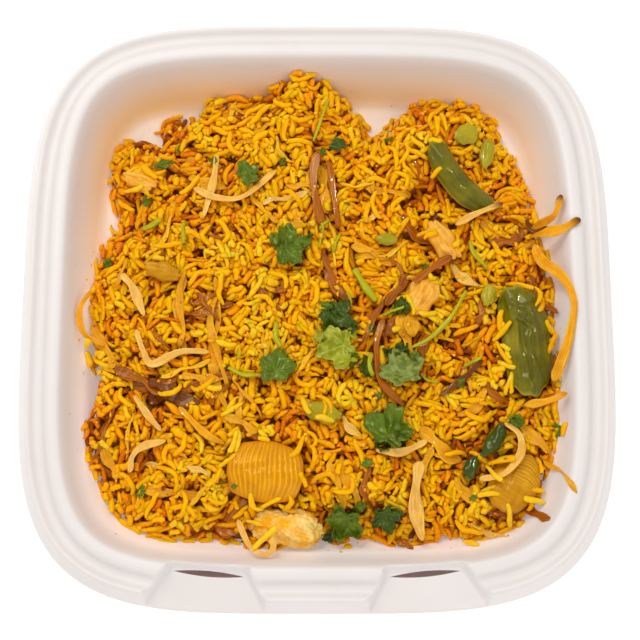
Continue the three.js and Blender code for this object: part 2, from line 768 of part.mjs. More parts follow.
const leaves = [
  { name: "leaf_centre_back", x: -9.5, y: 24.5, size: 19, turn: 20 },
  { name: "leaf_centre_low", x: -15.5, y: -23.5, size: 15, turn: 80 },
  { name: "leaf_middle_upper", x: 8.5, y: -4.5, size: 16, turn: -35 },
  { name: "leaf_middle_lower", x: 7.5, y: -17, size: 17, turn: 200 },
  { name: "leaf_right_upper", x: 33, y: -25, size: 17, turn: 110 },
  { name: "leaf_right_lower", x: 28.5, y: -49, size: 19, turn: 75 },
  { name: "leaf_front", x: 10, y: -86.5, size: 16, turn: 250 },
  { name: "leaf_front_right", x: 27, y: -84, size: 12, turn: 290 },
  { name: "leaf_back_left", x: -27.5, y: 56, size: 12, turn: 40 },
  { name: "leaf_back_centre", x: 8.5, y: 69, size: 8, turn: 120 },
  { name: "leaf_dark_centre", x: 33.5, y: -1, size: 9, turn: 250, stretch: 0.7 },
  { name: "leaf_slim_middle", x: 19.5, y: -25, size: 11, turn: 100, stretch: 0.5 },
  { name: "leaf_right_small", x: 78.5, y: -46.5, size: 9, turn: 0, stretch: 0.6 },
  { name: "leaf_upper_left", x: -62, y: 60.5, size: 12, turn: 18, stretch: 0.4 },
];
for (const { name, ...shape } of leaves) {
  relief.stamp(addMesh(name, leaf(shape), colours.leaf, 0.4).geometry);
}

// ---------------------------------------------------------------- the rice
const random = seededRandom(11);

// Is a point on the heap, and this far in from its edge?
function onHeap(x, y, margin) {
  return Math.hypot(x, y) < heapReach(Math.atan2(y, x)) - margin;
}

function distanceToRidge(x, y, ridge) {
  const [a, b] = ridge;
  const span = b.clone().sub(a);
  const share = THREE.MathUtils.clamp(((x - a.x) * span.x + (y - a.y) * span.y) / span.lengthSq(), 0, 1);
  return Math.hypot(x - a.x - share * span.x, y - a.y - share * span.y);
}

const beyondEdge = 3; // the relief runs on this far past the heap's edge, where it is trimmed

// Ridges as long as a grain, in all directions, none too close to another.
function scatterRidges() {
  const ridges = [];
  const tries = 9000;
  const half = grainLength / 2 - grainWidth / 2;
  for (let i = 0; i < tries; i++) {
    const x = (random() - 0.5) * trayWidth;
    const y = (random() - 0.5) * trayLength;
    const turn = random() * Math.PI;
    const along = new THREE.Vector2(Math.cos(turn), Math.sin(turn)).multiplyScalar(half);
    const ridge = [new THREE.Vector2(x, y).sub(along), new THREE.Vector2(x, y).add(along)];
    if (!onHeap(x, y, -beyondEdge)) continue;
    const free = ridges.every((other) => {
      if (other[0].distanceTo(ridge[0]) > 2 * grainLength + grainPitch) return true;
      const middle = other[0].clone().add(other[1]).divideScalar(2);
      const ends = ridge.map((p) => distanceToRidge(p.x, p.y, other));
      const back = other.map((p) => distanceToRidge(p.x, p.y, ridge));
      const apart = Math.hypot(middle.x - x, middle.y - y);
      return Math.min(...ends, ...back) > grainPitch / 2 && apart > grainPitch;
    });
    if (free) ridges.push(ridge);
  }
  return ridges;
}

// Low points between the ridges, none too close to a ridge or to each other.
function scatterValleys(ridges) {
  const valleys = [];
  const tries = 12000;
  for (let i = 0; i < tries; i++) {
    const x = (random() - 0.5) * trayWidth;
    const y = (random() - 0.5) * trayLength;
    if (!onHeap(x, y, -beyondEdge)) continue;
    if (valleys.some((p) => Math.hypot(p.x - x, p.y - y) < valleyPitch)) continue;
    const crowded = ridges.some((ridge) => {
      return Math.abs(ridge[0].x - x) < grainLength && distanceToRidge(x, y, ridge) < 1.9;
    });
    if (!crowded) valleys.push(new THREE.Vector2(x, y));
  }
  return valleys;
}

// The Delaunay triangles of flat points: the lower hull of the same points lifted onto a bowl.
function delaunay(points) {
  const lifted = points.map(({ x, y }) => new THREE.Vector3(x, y, (x * x + y * y) / 100));
  const number = new Map(lifted.map((point, i) => [point, i]));
  const hull = new ConvexHull().setFromPoints(lifted);
  const triangles = [];
  for (const face of hull.faces) {
    if (face.normal.z >= 0) continue;
    const edge = face.edge;
    const corners = [edge, edge.next, edge.next.next].map((e) => number.get(e.head().point));
    triangles.push([corners[0], corners[2], corners[1]]);
  }
  return triangles;
}

const ridgeHeight = 1.1;
const valleyDepth = 0.9;

// The heap's plan as a solid wall all round, from below the floor to above the rim.
function heapPrism() {
  const corners = 130;
  const fine = 2000;
  const edge = new THREE.Path();
  for (let i = 0; i <= fine; i++) {
    const angle = (2 * Math.PI * i) / fine;
    const reach = heapReach(angle);
    if (i === 0) edge.moveTo(reach, 0);
    else edge.lineTo(reach * Math.cos(angle), reach * Math.sin(angle));
  }
  const plan = new THREE.Shape(edge.getSpacedPoints(corners).slice(0, corners));
  return solidFrom(new THREE.ExtrudeGeometry(plan, { depth: 60, bevelEnabled: false }));
}

// The heap as one solid: its ridged top, trimmed to its plan, down to a flat base.
function riceCore() {
  const ridges = scatterRidges();
  const valleys = scatterValleys(ridges);
  const surround = 32;
  const ring = Array.from({ length: surround }, (_, i) => {
    const { x, y } = outlineAt((2 * Math.PI * i) / surround);
    return new THREE.Vector2(x, y);
  });
  const spots = [
    ...ring.map((point) => ({ point, lift: 0 })),
    ...ridges.flat().map((point) => ({ point, lift: ridgeHeight })),
    ...valleys.map((point) => ({ point, lift: -valleyDepth })),
  ];
  const base = floorTop + gap;
  const clear = 6; // as long as the longest edge between neighbouring points
  const positions = [];
  for (const { point, lift } of spots) {
    const free = heapTop(point.x, point.y) + lift;
    const pressed = relief.lowest(point.x, point.y, clear) - gap;
    positions.push(point.x, point.y, Math.max(base + 1, Math.min(free, pressed)));
  }
  for (const point of ring) positions.push(point.x, point.y, base);
  const triangles = delaunay(spots.map(({ point }) => point)).flat();
  const below = (i) => spots.length + (i % surround);
  for (let i = 0; i < surround; i++) {
    triangles.push(i, below(i), below(i + 1), i, below(i + 1), (i + 1) % surround);
    if (i > 1) triangles.push(below(0), below(i), below(i - 1));
  }
  return solidFrom(geometryOf(positions, triangles)).intersect(heapPrism());
}

// One whole grain, slightly bent, with blunt ends.
function grain(x, y, z, turn, tilt) {
  const sides = 5;
  const stations = [
    { along: -0.36, girth: 0.85 },
    { along: 0, girth: 1 },
    { along: 0.36, girth: 0.85 },
  ];
  const positions = [-grainLength / 2, 0, 0];
  for (const { along, girth } of stations) {
    for (let k = 0; k < sides; k++) {
      const around = (2 * Math.PI * k) / sides;
      const bow = 1 - 4 * along * along;
      positions.push(
        along * grainLength,
        (grainWidth / 2) * girth * Math.cos(around) + 0.6 * bow,
        (grainWidth / 2) * girth * Math.sin(around),
      );
    }
  }
  positions.push(grainLength / 2, 0, 0);
  const last = positions.length / 3 - 1;
  const at = (ring, k) => 1 + ring * sides + (k % sides);
  const triangles = [];
  for (let k = 0; k < sides; k++) {
    triangles.push(0, at(0, k + 1), at(0, k), last, at(2, k), at(2, k + 1));
    for (const ring of [0, 1]) {
      triangles.push(at(ring, k), at(ring, k + 1), at(ring + 1, k + 1));
      triangles.push(at(ring, k), at(ring + 1, k + 1), at(ring + 1, k));
    }
  }
  const geometry = geometryOf(positions, triangles);
  return solidFrom(geometry.rotateY(tilt).rotateZ(turn).translate(x, y, z));
}

// Whole grains, spread evenly: some on top of the heap and some leaning out of its edge.
function wholeGrains() {
  const grains = [];
  const centres = [];
  const onTop = 22;
  const apart = 20;
  for (let i = 0; i < 4000 && centres.length < onTop; i++) {
    const x = (random() - 0.5) * trayWidth;
    const y = (random() - 0.5) * trayLength;
    if (!onHeap(x, y, 12) || relief.highest(x, y, 6) > 0) continue;
    if (centres.some((p) => Math.hypot(p.x - x, p.y - y) < apart)) continue;
    centres.push({ x, y });
    grains.push(grain(x, y, heapTop(x, y) + 1, random() * 2 * Math.PI, 0.45 * (random() - 0.5)));
  }
  const atEdge = 18;
  for (let i = 0; i < atEdge; i++) {
    const angle = (2 * Math.PI * (i + random() * 0.6)) / atEdge;
    const reach = heapReach(angle) - 1.5;
    const [x, y] = [reach * Math.cos(angle), reach * Math.sin(angle)];
    if (relief.highest(x, y, 7) > 0) continue;
    grains.push(grain(x, y, heapTop(x, y) - 1.2, angle + 1.2 * (random() - 0.5), 0.5 * random()));
  }
  return grains;
}

function buildRice() {
  let rice = riceCore();
  for (const one of wholeGrains()) rice = rice.add(one);
  for (const socket of sockets) rice = rice.subtract(socket);
  rice = rice.intersect(trayCavity());
  const bodies = rice.decompose().sort((a, b) => b.volume() - a.volume());
  return geometryFrom(bodies[0]);
}

addMesh("tray", buildTray(), colours.foam, 0.45);
addMesh("rice", buildRice(), colours.rice, 0.6);

export default group;
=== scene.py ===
# %% [markdown]
# # A rice meal in its foam box
# The box is a pressed foam tray. In it lies a heap of saffron rice with fried onion, green pepper,
# a chunk of potato and fresh herb leaves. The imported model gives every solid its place. This lesson
# dresses those solids: the foam gets its rounded beads, the heap becomes thousands of single
# grains, and each topping gets its own folds, ribs and veins.

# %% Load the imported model
import math

import bpy
import numpy as np
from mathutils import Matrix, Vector
from mathutils.bvhtree import BVHTree


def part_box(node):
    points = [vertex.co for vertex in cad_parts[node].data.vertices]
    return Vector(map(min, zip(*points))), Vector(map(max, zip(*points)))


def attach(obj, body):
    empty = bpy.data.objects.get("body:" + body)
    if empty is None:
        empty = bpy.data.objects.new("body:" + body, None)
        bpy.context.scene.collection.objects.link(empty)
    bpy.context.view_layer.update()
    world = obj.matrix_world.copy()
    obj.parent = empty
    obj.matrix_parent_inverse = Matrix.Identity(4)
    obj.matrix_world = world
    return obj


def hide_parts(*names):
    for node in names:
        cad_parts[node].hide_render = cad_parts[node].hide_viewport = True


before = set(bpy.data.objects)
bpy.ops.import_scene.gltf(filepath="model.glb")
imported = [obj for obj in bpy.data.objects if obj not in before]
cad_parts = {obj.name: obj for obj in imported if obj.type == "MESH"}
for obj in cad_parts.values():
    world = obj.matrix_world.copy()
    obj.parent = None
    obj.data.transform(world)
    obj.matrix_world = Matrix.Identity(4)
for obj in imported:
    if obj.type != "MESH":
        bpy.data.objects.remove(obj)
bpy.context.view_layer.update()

MM = 0.001  # everything below is worked out in millimetres and stored in metres
NOTHING, EVERYTHING = -1e3, 1e3  # heights below and above all that is built
print("nodes:", len(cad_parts))

# %% [markdown]
# ## The view
# A meal is looked at from above, leaning a little back. A long lens far away keeps the tray's sides
# nearly parallel. The camera aims at the middle of the rim, and its height and tilt come from one
# distance and one angle, so that either can be changed alone.

# %% Camera
LEAN = math.radians(13)  # between the line of sight and straight down
DISTANCE = 553.0
AIM = Vector((1.17, -7.95, 35.0))

lens = bpy.data.cameras.new("view")
lens.lens = 79.6
lens.sensor_width = 36
camera = bpy.data.objects.new("view", lens)
camera.location = (AIM + DISTANCE * Vector((0, -math.sin(LEAN), math.cos(LEAN)))) * MM
camera.rotation_euler = (LEAN, 0, 0)
bpy.context.scene.collection.objects.link(camera)
bpy.context.scene.camera = camera
bpy.context.scene.view_settings.view_transform = "Standard"
print("camera at", [round(c, 3) for c in camera.location])

# %% [markdown]
# ## The light
# Soft studio light can be one big lamp, a bright sky or both. A large soft lamp behind and to the
# left makes the front wall of the tray bright and leaves its back wall in shade, and a smaller one
# gives wet food its small white glints. A pale even sky fills the rest.

# %% Lamps and sky
def soft_lamp(name, place, target, side, power, colour):
    """A square lamp that faces a target; its power is in watts."""
    lamp = bpy.data.lights.new(name, "AREA")
    lamp.shape = "SQUARE"
    lamp.size = side * MM
    lamp.energy = power
    lamp.color = colour
    holder = bpy.data.objects.new(name, lamp)
    holder.location = Vector(place) * MM
    towards = Vector(target) - Vector(place)
    holder.rotation_euler = towards.to_track_quat("-Z", "Y").to_euler()
    bpy.context.scene.collection.objects.link(holder)


soft_lamp("window", (-380, 520, 760), (0, 0, 20), 420, 2.3, (1.0, 0.97, 0.93))
soft_lamp("glint", (-160, 330, 900), (0, 0, 20), 60, 1.7, (1.0, 0.98, 0.95))
soft_lamp("front", (260, -620, 700), (0, 0, 20), 500, 1.7, (1.0, 0.98, 0.96))
sky = bpy.data.worlds.new("sky")
sky.use_nodes = True
sky.node_tree.nodes["Background"].inputs["Color"].default_value = (1.0, 0.985, 0.97, 1)
sky.node_tree.nodes["Background"].inputs["Strength"].default_value = 0.72
bpy.context.scene.world = sky
print("lamps: 3, with an even sky")

# %% [markdown]
# ## Tools for meshes
# Thousands of grains are too many for one object each, so every kind of piece is worked out as two
# arrays, points and faces, and handed to Blender in one go. The helper also rides the piece on the
# box, gives it its material and hides the imported solids it stands for.

# %% Mesh helpers
def build_mesh(name, points, faces):
    """A mesh from an array of points in millimetres and a list of face arrays."""
    mesh = bpy.data.meshes.new(name)
    points = np.asarray(points, float).reshape(-1, 3) * MM
    mesh.vertices.add(len(points))
    mesh.vertices.foreach_set("co", points.ravel())
    loops = np.concatenate([np.asarray(f, np.int32).ravel() for f in faces])
    sizes = np.concatenate([np.full(len(f), np.shape(f)[1], np.int32) for f in faces])
    starts = np.concatenate([[0], np.cumsum(sizes)[:-1]]).astype(np.int32)
    mesh.loops.add(len(loops))
    mesh.loops.foreach_set("vertex_index", loops)
    mesh.polygons.add(len(sizes))
    mesh.polygons.foreach_set("loop_start", starts)
    mesh.update(calc_edges=True)
    mesh.validate()
    mesh.polygons.foreach_set("use_smooth", np.ones(len(mesh.polygons), bool))
    return mesh


def ring_faces(rings, count, flipped=False):
    """Faces that join each closed ring of points to the next one."""
    i = np.arange(count)
    after = (i + 1) % count
    j = np.arange(rings - 1)[:, None] * count
    around = [j + i, j + after, j + after + count, j + i + count]
    if flipped:
        around = [j + i, j + i + count, j + after + count, j + after]
    return np.stack(around, 2).reshape(-1, 4)


def fan_faces(point, ring, flipped=False):
    """Triangles that join one point to a closed ring."""
    sides = [ring, np.roll(ring, -1)]
    return np.stack([np.full(len(ring), point), *(sides[::-1] if flipped else sides)], 1)


def turned(along, across, degrees, place):
    """Plan positions after a turn and a move to a place."""
    c, s = math.cos(math.radians(degrees)), math.sin(math.radians(degrees))
    return place[0] + c * along - s * across, place[1] + s * along + c * across

# %% Piece helpers
ROOT = "root"


def add_piece(name, mesh, material, stands_for=()):
    """Puts a mesh in the scene as a piece that rides on the box."""
    piece = bpy.data.objects.new(name, mesh)
    mesh.materials.append(material)
    bpy.context.scene.collection.objects.link(piece)
    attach(piece, ROOT)
    if stands_for:
        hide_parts(*stands_for)
    return piece


def set_field(mesh, name, values):
    """Stores one number for each point, which the materials read by name."""
    field = mesh.attributes.new(name, "FLOAT", "POINT")
    field.data.foreach_set("value", np.asarray(values, np.float32).ravel())

# %% [markdown]
# ## Tools for materials
# A procedural material is a small net of nodes. Writing each node by hand is long, so one helper
# makes a node, sets what it is given and links what is already a socket. Effects that several
# materials share are kept as node groups: blotches of a second shade, fine grain for roughness and
# bump, and fibres that run along a strip.

# %% Node helpers
def put(tree, kind, inputs=None, **settings):
    """Adds a node; inputs are values or sockets by name or number, settings are its properties."""
    made = tree.nodes.new(kind)
    for key, value in settings.items():
        setattr(made, key, value)
    for key, value in (inputs or {}).items():
        if isinstance(value, bpy.types.NodeSocket):
            tree.links.new(value, made.inputs[key])
        else:
            made.inputs[key].default_value = value
    return made


def blend(tree, share, first, second, how="MIX"):
    """A colour between two others."""
    made = put(tree, "ShaderNodeMix", {0: share, 6: first, 7: second}, data_type="RGBA", blend_type=how)
    return made.outputs[2]


def scale_to(tree, value, low, high, to_low=0.0, to_high=1.0):
    """Maps a value from one range to another, clamped."""
    names = {"Value": value, "From Min": low, "From Max": high, "To Min": to_low, "To Max": to_high}
    return put(tree, "ShaderNodeMapRange", names).outputs[0]


def calc(tree, how, *values):
    """The result of a Math node."""
    return put(tree, "ShaderNodeMath", dict(enumerate(values)), operation=how).outputs[0]


def field(tree, name):
    """A number that the mesh stores for each point."""
    return put(tree, "ShaderNodeAttribute", attribute_name=name).outputs["Fac"]


def new_group(name, inputs, outputs):
    """A shader node group; inputs are (name, kind, value), outputs are (name, kind)."""
    group = bpy.data.node_groups.new(name, "ShaderNodeTree")
    for label, kind, value in inputs:
        made = group.interface.new_socket(label, in_out="INPUT", socket_type=f"NodeSocket{kind}")
        made.default_value = value
    for label, kind in outputs:
        group.interface.new_socket(label, in_out="OUTPUT", socket_type=f"NodeSocket{kind}")
    return group, group.nodes.new("NodeGroupInput").outputs, group.nodes.new("NodeGroupOutput")


def use_group(tree, group, **values):
    """Places a node group with its own values and gives its outputs."""
    return put(tree, "ShaderNodeGroup", values, node_tree=group).outputs


def new_material(name, rough=0.5, **sockets):
    """A material with a Principled BSDF whose plain numbers are set on its own sockets."""
    material = bpy.data.materials.new(name)
    material.use_nodes = True
    tree = material.node_tree
    shader = tree.nodes["Principled BSDF"]
    shader.inputs["Roughness"].default_value = rough
    for label, value in sockets.items():
        shader.inputs[label.replace("_", " ")].default_value = value
    return material, tree, shader


def finish_material(tree, shader, colour, rough=None, normal=None):
    """Links what changes over the surface to the shader."""
    for label, socket in (("Base Color", colour), ("Roughness", rough), ("Normal", normal)):
        if socket is not None:
            tree.links.new(socket, shader.inputs[label])

# %% Blotches as a node group
def build_blotches():
    """Two shades in soft blotches, and the mask that mixes them."""
    inputs = [("Main", "Color", (1, 1, 1, 1)), ("Second", "Color", (0.5, 0.5, 0.5, 1)),
              ("Size", "Float", 300.0), ("Share", "Float", 0.5)]
    group, given, out = new_group("blotches", inputs, [("Color", "Color"), ("Mask", "Float")])
    where = put(group, "ShaderNodeNewGeometry").outputs["Position"]
    cloud = put(group, "ShaderNodeTexNoise", {"Vector": where, "Scale": given["Size"], "Detail": 3.0})
    mask = scale_to(group, cloud.outputs[0], 0.38, 0.66)
    strength = calc(group, "MULTIPLY", mask, given["Share"])
    group.links.new(blend(group, strength, given["Main"], given["Second"]), out.inputs["Color"])
    group.links.new(mask, out.inputs["Mask"])
    return group

# %% Fine grain as a node group
def build_fine_grain():
    """Fine unevenness: a roughness around a middle value, and a height for a bump."""
    inputs = [("Size", "Float", 2000.0), ("Middle", "Float", 0.5), ("Swing", "Float", 0.2)]
    group, given, out = new_group("fine_grain", inputs, [("Roughness", "Float"), ("Height", "Float")])
    where = put(group, "ShaderNodeNewGeometry").outputs["Position"]
    cloud = put(group, "ShaderNodeTexNoise", {"Vector": where, "Scale": given["Size"], "Detail": 4.0})
    centred = calc(group, "SUBTRACT", cloud.outputs[0], 0.5)
    swung = calc(group, "MULTIPLY_ADD", centred, given["Swing"], given["Middle"])
    group.links.new(swung, out.inputs["Roughness"])
    group.links.new(cloud.outputs[0], out.inputs["Height"])
    return group


BLOTCHES = build_blotches()
FINE_GRAIN = build_fine_grain()
print("shared effects:", BLOTCHES.name, FINE_GRAIN.name)


def bump(tree, height, depth, strength=1.0):
    """A normal from a height; the depth is in metres."""
    inputs = {"Height": height, "Distance": depth, "Strength": strength}
    return put(tree, "ShaderNodeBump", inputs).outputs[0]

# %% [markdown]
# ## The floor
# A table under the tray catches a faint soft shadow. One plane would do, but white paper in a bright
# studio also seems to shine a little, and that light must not come up through the tray. So the plane
# is made of rings, and only those outside the tray's foot give light. Through the two latch slots one
# looks down on table in deep shade, so a soft dark spot below each slot is a painted shadow.

# %% The table's finish
BELOW_SLOT = (0.0433, -0.1039, 0)  # metres: the spot below the right slot, mirrored for the left one
PER_SPOT = (1 / 0.016, 1 / 0.006, 0)  # one over the spot's half length and half width
SPOT_EDGE = (1.4, 0.9)  # where its soft edge starts and ends, as shares of its half size
# the colour of the painted shadow on the table below the latch slots
PAINTED_SLOT_SHADOW = (0.26, 0.17, 0.15, 1)


def painted_slot_shadow(tree):
    """Mask of the painted shadow: 1 on the table straight below the two latch slots, fading to 0 around them.
    """
    position = put(tree, "ShaderNodeNewGeometry").outputs["Position"]
    where = put(tree, "ShaderNodeSeparateXYZ", {0: position}).outputs
    aside = calc(tree, "ABSOLUTE", where["X"])
    place = put(tree, "ShaderNodeCombineXYZ", {"X": aside, "Y": where["Y"]}).outputs[0]
    offset = put(tree, "ShaderNodeVectorMath", {0: place, 1: BELOW_SLOT}, operation="SUBTRACT").outputs[0]
    scaled = put(tree, "ShaderNodeVectorMath", {0: offset, 1: PER_SPOT}, operation="MULTIPLY").outputs[0]
    away = put(tree, "ShaderNodeVectorMath", {0: scaled}, operation="LENGTH").outputs["Value"]
    return scale_to(tree, away, *SPOT_EDGE)


def paper_white():
    """Matt white paper that gives light where its field says so, with a painted shadow below the slots."""
    material, tree, shader = new_material("paper_white", 0.8, Emission_Strength=0.35)
    shade = use_group(tree, BLOTCHES, Main=(0.93, 0.93, 0.93, 1), Second=(0.96, 0.96, 0.955, 1), Size=40.0)
    lit = blend(tree, field(tree, "lit"), (0, 0, 0, 1), shade["Color"])
    finish_material(tree, shader, blend(tree, painted_slot_shadow(tree), shade["Color"], PAINTED_SLOT_SHADOW))
    tree.links.new(lit, shader.inputs["Emission Color"])
    return material

# %% Floor
FLOOR_SIDE = 6000.0
FLOOR_LEVEL = -0.4
UNLIT_SIDE, LIT_SIDE = 210, 224  # the sides of two rounded squares: unlit within one, lit beyond the other
RING_POWER = 4.5
RING_POINTS = 64

around = np.linspace(0, math.tau, RING_POINTS, endpoint=False)
reach = (np.abs(np.cos(around)) ** RING_POWER + np.abs(np.sin(around)) ** RING_POWER) ** (-1 / RING_POWER)
halves = np.array([UNLIT_SIDE, LIT_SIDE, FLOOR_SIDE]) / 2
rings = [np.append(np.outer(halves, reach * way), 0) for way in (np.cos(around), np.sin(around))]
corners = np.column_stack([*rings, np.full(3 * RING_POINTS + 1, FLOOR_LEVEL)])
floor_faces = [ring_faces(3, RING_POINTS, True), fan_faces(3 * RING_POINTS, np.arange(RING_POINTS))]
floor_mesh = build_mesh("floor", corners, floor_faces)
set_field(floor_mesh, "lit", [0] * RING_POINTS + [1] * 2 * RING_POINTS + [0])
floor_mesh.materials.append(paper_white())
floor = bpy.data.objects.new("floor", floor_mesh)
bpy.context.scene.collection.objects.link(floor)
print("floor faces:", len(floor_mesh.polygons))

# %% [markdown]
# ## The foam tray
# The real tray is one sheet of foam, pressed while warm, so every edge is round. Its plan is a
# rounded square: a superellipse, whose one exponent says how square the corners are. The sheet's
# section is carried round that plan. The same could be done with a bevelled curve, but the plan's
# offsets stay exact this way, and the two latch recesses can be pressed in point by point.

# %% The tray's plan
WIDTH = 235.0
LENGTH = 240.5
HEIGHT = 35.0
FLOOR_TOP = 3.0
CORNER_POWER = 4.1
HALF = np.array([WIDTH / 2, LENGTH / 2])


def outline(angles):
    """Points of the tray's outline at these angles, with their outward normals."""
    way = np.stack([np.cos(angles), np.sin(angles)], 1)
    reach = (np.abs(way / HALF) ** CORNER_POWER).sum(1) ** (-1 / CORNER_POWER)
    points = way * reach[:, None]
    normals = np.sign(points) * np.abs(points) ** (CORNER_POWER - 1) / HALF**CORNER_POWER
    return points, normals / np.linalg.norm(normals, axis=1)[:, None]


def inset_of(x, y):
    """How far points lie inside the outline."""
    points, normals = outline(np.arctan2(y, x).ravel())
    away = points - np.stack([np.ravel(x), np.ravel(y)], 1)
    return (away * normals).sum(1).reshape(np.shape(x))


LATCH_REACHES = 82  # the latches lie within this distance to each side of the middle
CLOSE, WIDE = 0.8, 2.2  # spacing round the rim at the latches and elsewhere


def stations():
    """Angles round the tray, close together where the latches are pressed in."""
    fine = np.linspace(0, math.tau, 7201)
    points, _ = outline(fine)
    steps = np.linalg.norm(np.diff(points, axis=0), axis=1)
    middle = (points[1:] + points[:-1]) / 2
    near_latch = (middle[:, 1] < 0) & (np.abs(middle[:, 0]) < LATCH_REACHES)
    weight = steps / np.where(near_latch, CLOSE, WIDE)
    total = np.concatenate([[0], np.cumsum(weight)])
    count = int(total[-1])
    return np.interp(np.arange(count) * total[-1] / count, total, fine)

# %% The foam's section
# Each point: how far in from the outline, and the height.
INNER_WALL = [(33.5, 3), (29, 5.2), (26, 10), (19, 31), (17.2, 34.3)]
RIM_TOP = [(15.6, 35), (12.4, 35), (10.2, 32.2), (7.4, 32.2), (5.6, 34.5), (4.2, 34.5)]
SKIRT = [(0.6, 26.4), (0, 25.4), (1.6, 25)]
UNDERSIDE = [
    (5.6, 32.1), (8.8, 29.8), (14.4, 32.6), (16.9, 30), (24, 9.6), (27.4, 3.2), (31, 0), (38, 0), (40, 0.7),
]


def round_corners(line, reach=1.5, steps=4):
    """Replaces each inner corner of a line by a short curve that starts and ends on its sides."""
    line = np.asarray(line, float)
    rounded = [line[0]]
    for before, corner, after in zip(line[:-2], line[1:-1], line[2:]):
        to_before, to_after = before - corner, after - corner
        start = corner + to_before * min(reach / np.linalg.norm(to_before), 0.45)
        end = corner + to_after * min(reach / np.linalg.norm(to_after), 0.45)
        for t in np.linspace(0, 1, steps):
            rounded.append((1 - t) ** 2 * start + 2 * t * (1 - t) * corner + t**2 * end)
    return np.array(rounded + [line[-1]])


def resample(line, step):
    """Adds points to a line so that no two are further apart than step."""
    finer = [line[:1]]
    for a, b in zip(line[:-1], line[1:]):
        count = max(1, math.ceil(np.linalg.norm(b - a) / step))
        finer.append(a + (b - a) * (np.arange(1, count + 1) / count)[:, None])
    return np.concatenate(finer)


def sheet_section():
    """The section as (inset, height) points, and for each whether it is on the foam's upper face."""
    upper = resample(round_corners(INNER_WALL + RIM_TOP + SKIRT[:2]), 1.6)
    lower = resample(round_corners(SKIRT[1:] + UNDERSIDE), 1.8)[1:]
    return np.concatenate([upper, lower]), np.arange(len(upper) + len(lower)) < len(upper)

# %% [markdown]
# ### The latches
# The lid's two tabs lock into slots in the front rim. Round each slot the foam is pressed down to a
# sloping ledge with flared sides. A Boolean cut would leave sharp edges that foam never has. Here the
# recess is a height worked out at every point, and the lower of it and the rim is taken with a
# rounded blend. Only the slot itself, which has cut edges, is a Boolean cut.

# %% Latch recesses
LATCH_CENTRE = 41.0
LATCH_INSET = 14.8
LATCH_TURN = math.radians(5)
LEDGE_DROP = 5.0
LEDGE_SLOPE = 0.25
SHEET = 2.0  # thickness of the foam at the recess
LATCH_BACK = 1.1
LATCH_HALF = (14.0, 26.0)  # half the recess's width at its back and at its front
LATCH_REACH = 19.1
BACK_SLOPE = 1.25
FLANK_SLOPE = 2.0
SLOT_LENGTH = 27.0
SLOT_WIDTH = 2.3


def to_latch(x, y, side):
    """Coordinates from a slot's middle, along it and square to it."""
    dx, dy = x - side * LATCH_CENTRE, y - (LATCH_INSET - LENGTH / 2)
    c, s = math.cos(side * LATCH_TURN), math.sin(side * LATCH_TURN)
    return c * dx + s * dy, -s * dx + c * dy


def soft_high(a, b, width):
    """The higher of two heights, with a rounded blend of that width where they cross."""
    h = np.clip(0.5 + (a - b) / (2 * width), 0, 1)
    return a * h + b * (1 - h) + width * h * (1 - h)


def recess_height(x, y, margin=0.0):
    """The height of the pressed recess above the floor, far above the rim away from the latches."""
    lowest = np.full(np.shape(x), EVERYTHING)
    for side in (-1, 1):
        u, v = to_latch(x, y, side)
        ledge = HEIGHT - LEDGE_DROP + LEDGE_SLOPE * np.minimum(v, 0)
        back = HEIGHT - LEDGE_DROP + (v - LATCH_BACK - margin * 0.41) * BACK_SLOPE
        flare = np.clip((LATCH_BACK - v) / LATCH_REACH, 0, 1.3)
        half_width = LATCH_HALF[0] + (LATCH_HALF[1] - LATCH_HALF[0]) * flare + margin
        flank = HEIGHT - LEDGE_DROP + (np.abs(u) - half_width) * FLANK_SLOPE + LEDGE_SLOPE * v
        lowest = np.minimum(lowest, soft_high(soft_high(ledge, back, 0.7), flank, 0.9))
    return lowest - margin


def slot_cutter(side):
    """A closed prism with a lens-shaped section, through the foam at a slot."""
    t = np.linspace(0, 1, 17)
    u = SLOT_LENGTH * (t - 0.5)
    v = 2 * t * (1 - t) * SLOT_WIDTH
    ring = np.concatenate([np.stack([u, -v], 1), np.stack([u[-2:0:-1], v[-2:0:-1]], 1)])
    c, s = math.cos(side * LATCH_TURN), math.sin(side * LATCH_TURN)
    x = c * ring[:, 0] - s * ring[:, 1] + side * LATCH_CENTRE
    y = s * ring[:, 0] + c * ring[:, 1] + LATCH_INSET - LENGTH / 2
    n = len(ring)
    points = np.concatenate([np.stack([x, y, np.full(n, z)], 1) for z in (20.0, 40.0)])
    low = np.arange(n)
    return build_mesh("slot_cutter", points, [ring_faces(2, n), [low[::-1]], [low + n]])

# %% [markdown]
# ### Foam as a material
# Pressed foam is white, slightly warm, and lets light in under its skin, so its shadows stay soft.
# Close up its skin shows fine cells. A bump from a cell pattern gives them, kept shallow: deeper, it
# would look like plaster. Oily sauce has stained the inside, and the rice throws warm light on it. One
# stored field mixes in a warm tint that is partly that stain and partly painted shade, strongest on the
# back and left walls, which face away from the window. A second field is painted warm light: the foam
# gives it off as a glow.

# %% Foam material
# warm tint, partly sauce stain and partly painted shade
STAIN_AND_SHADE = (0.80, 0.55, 0.26, 1)


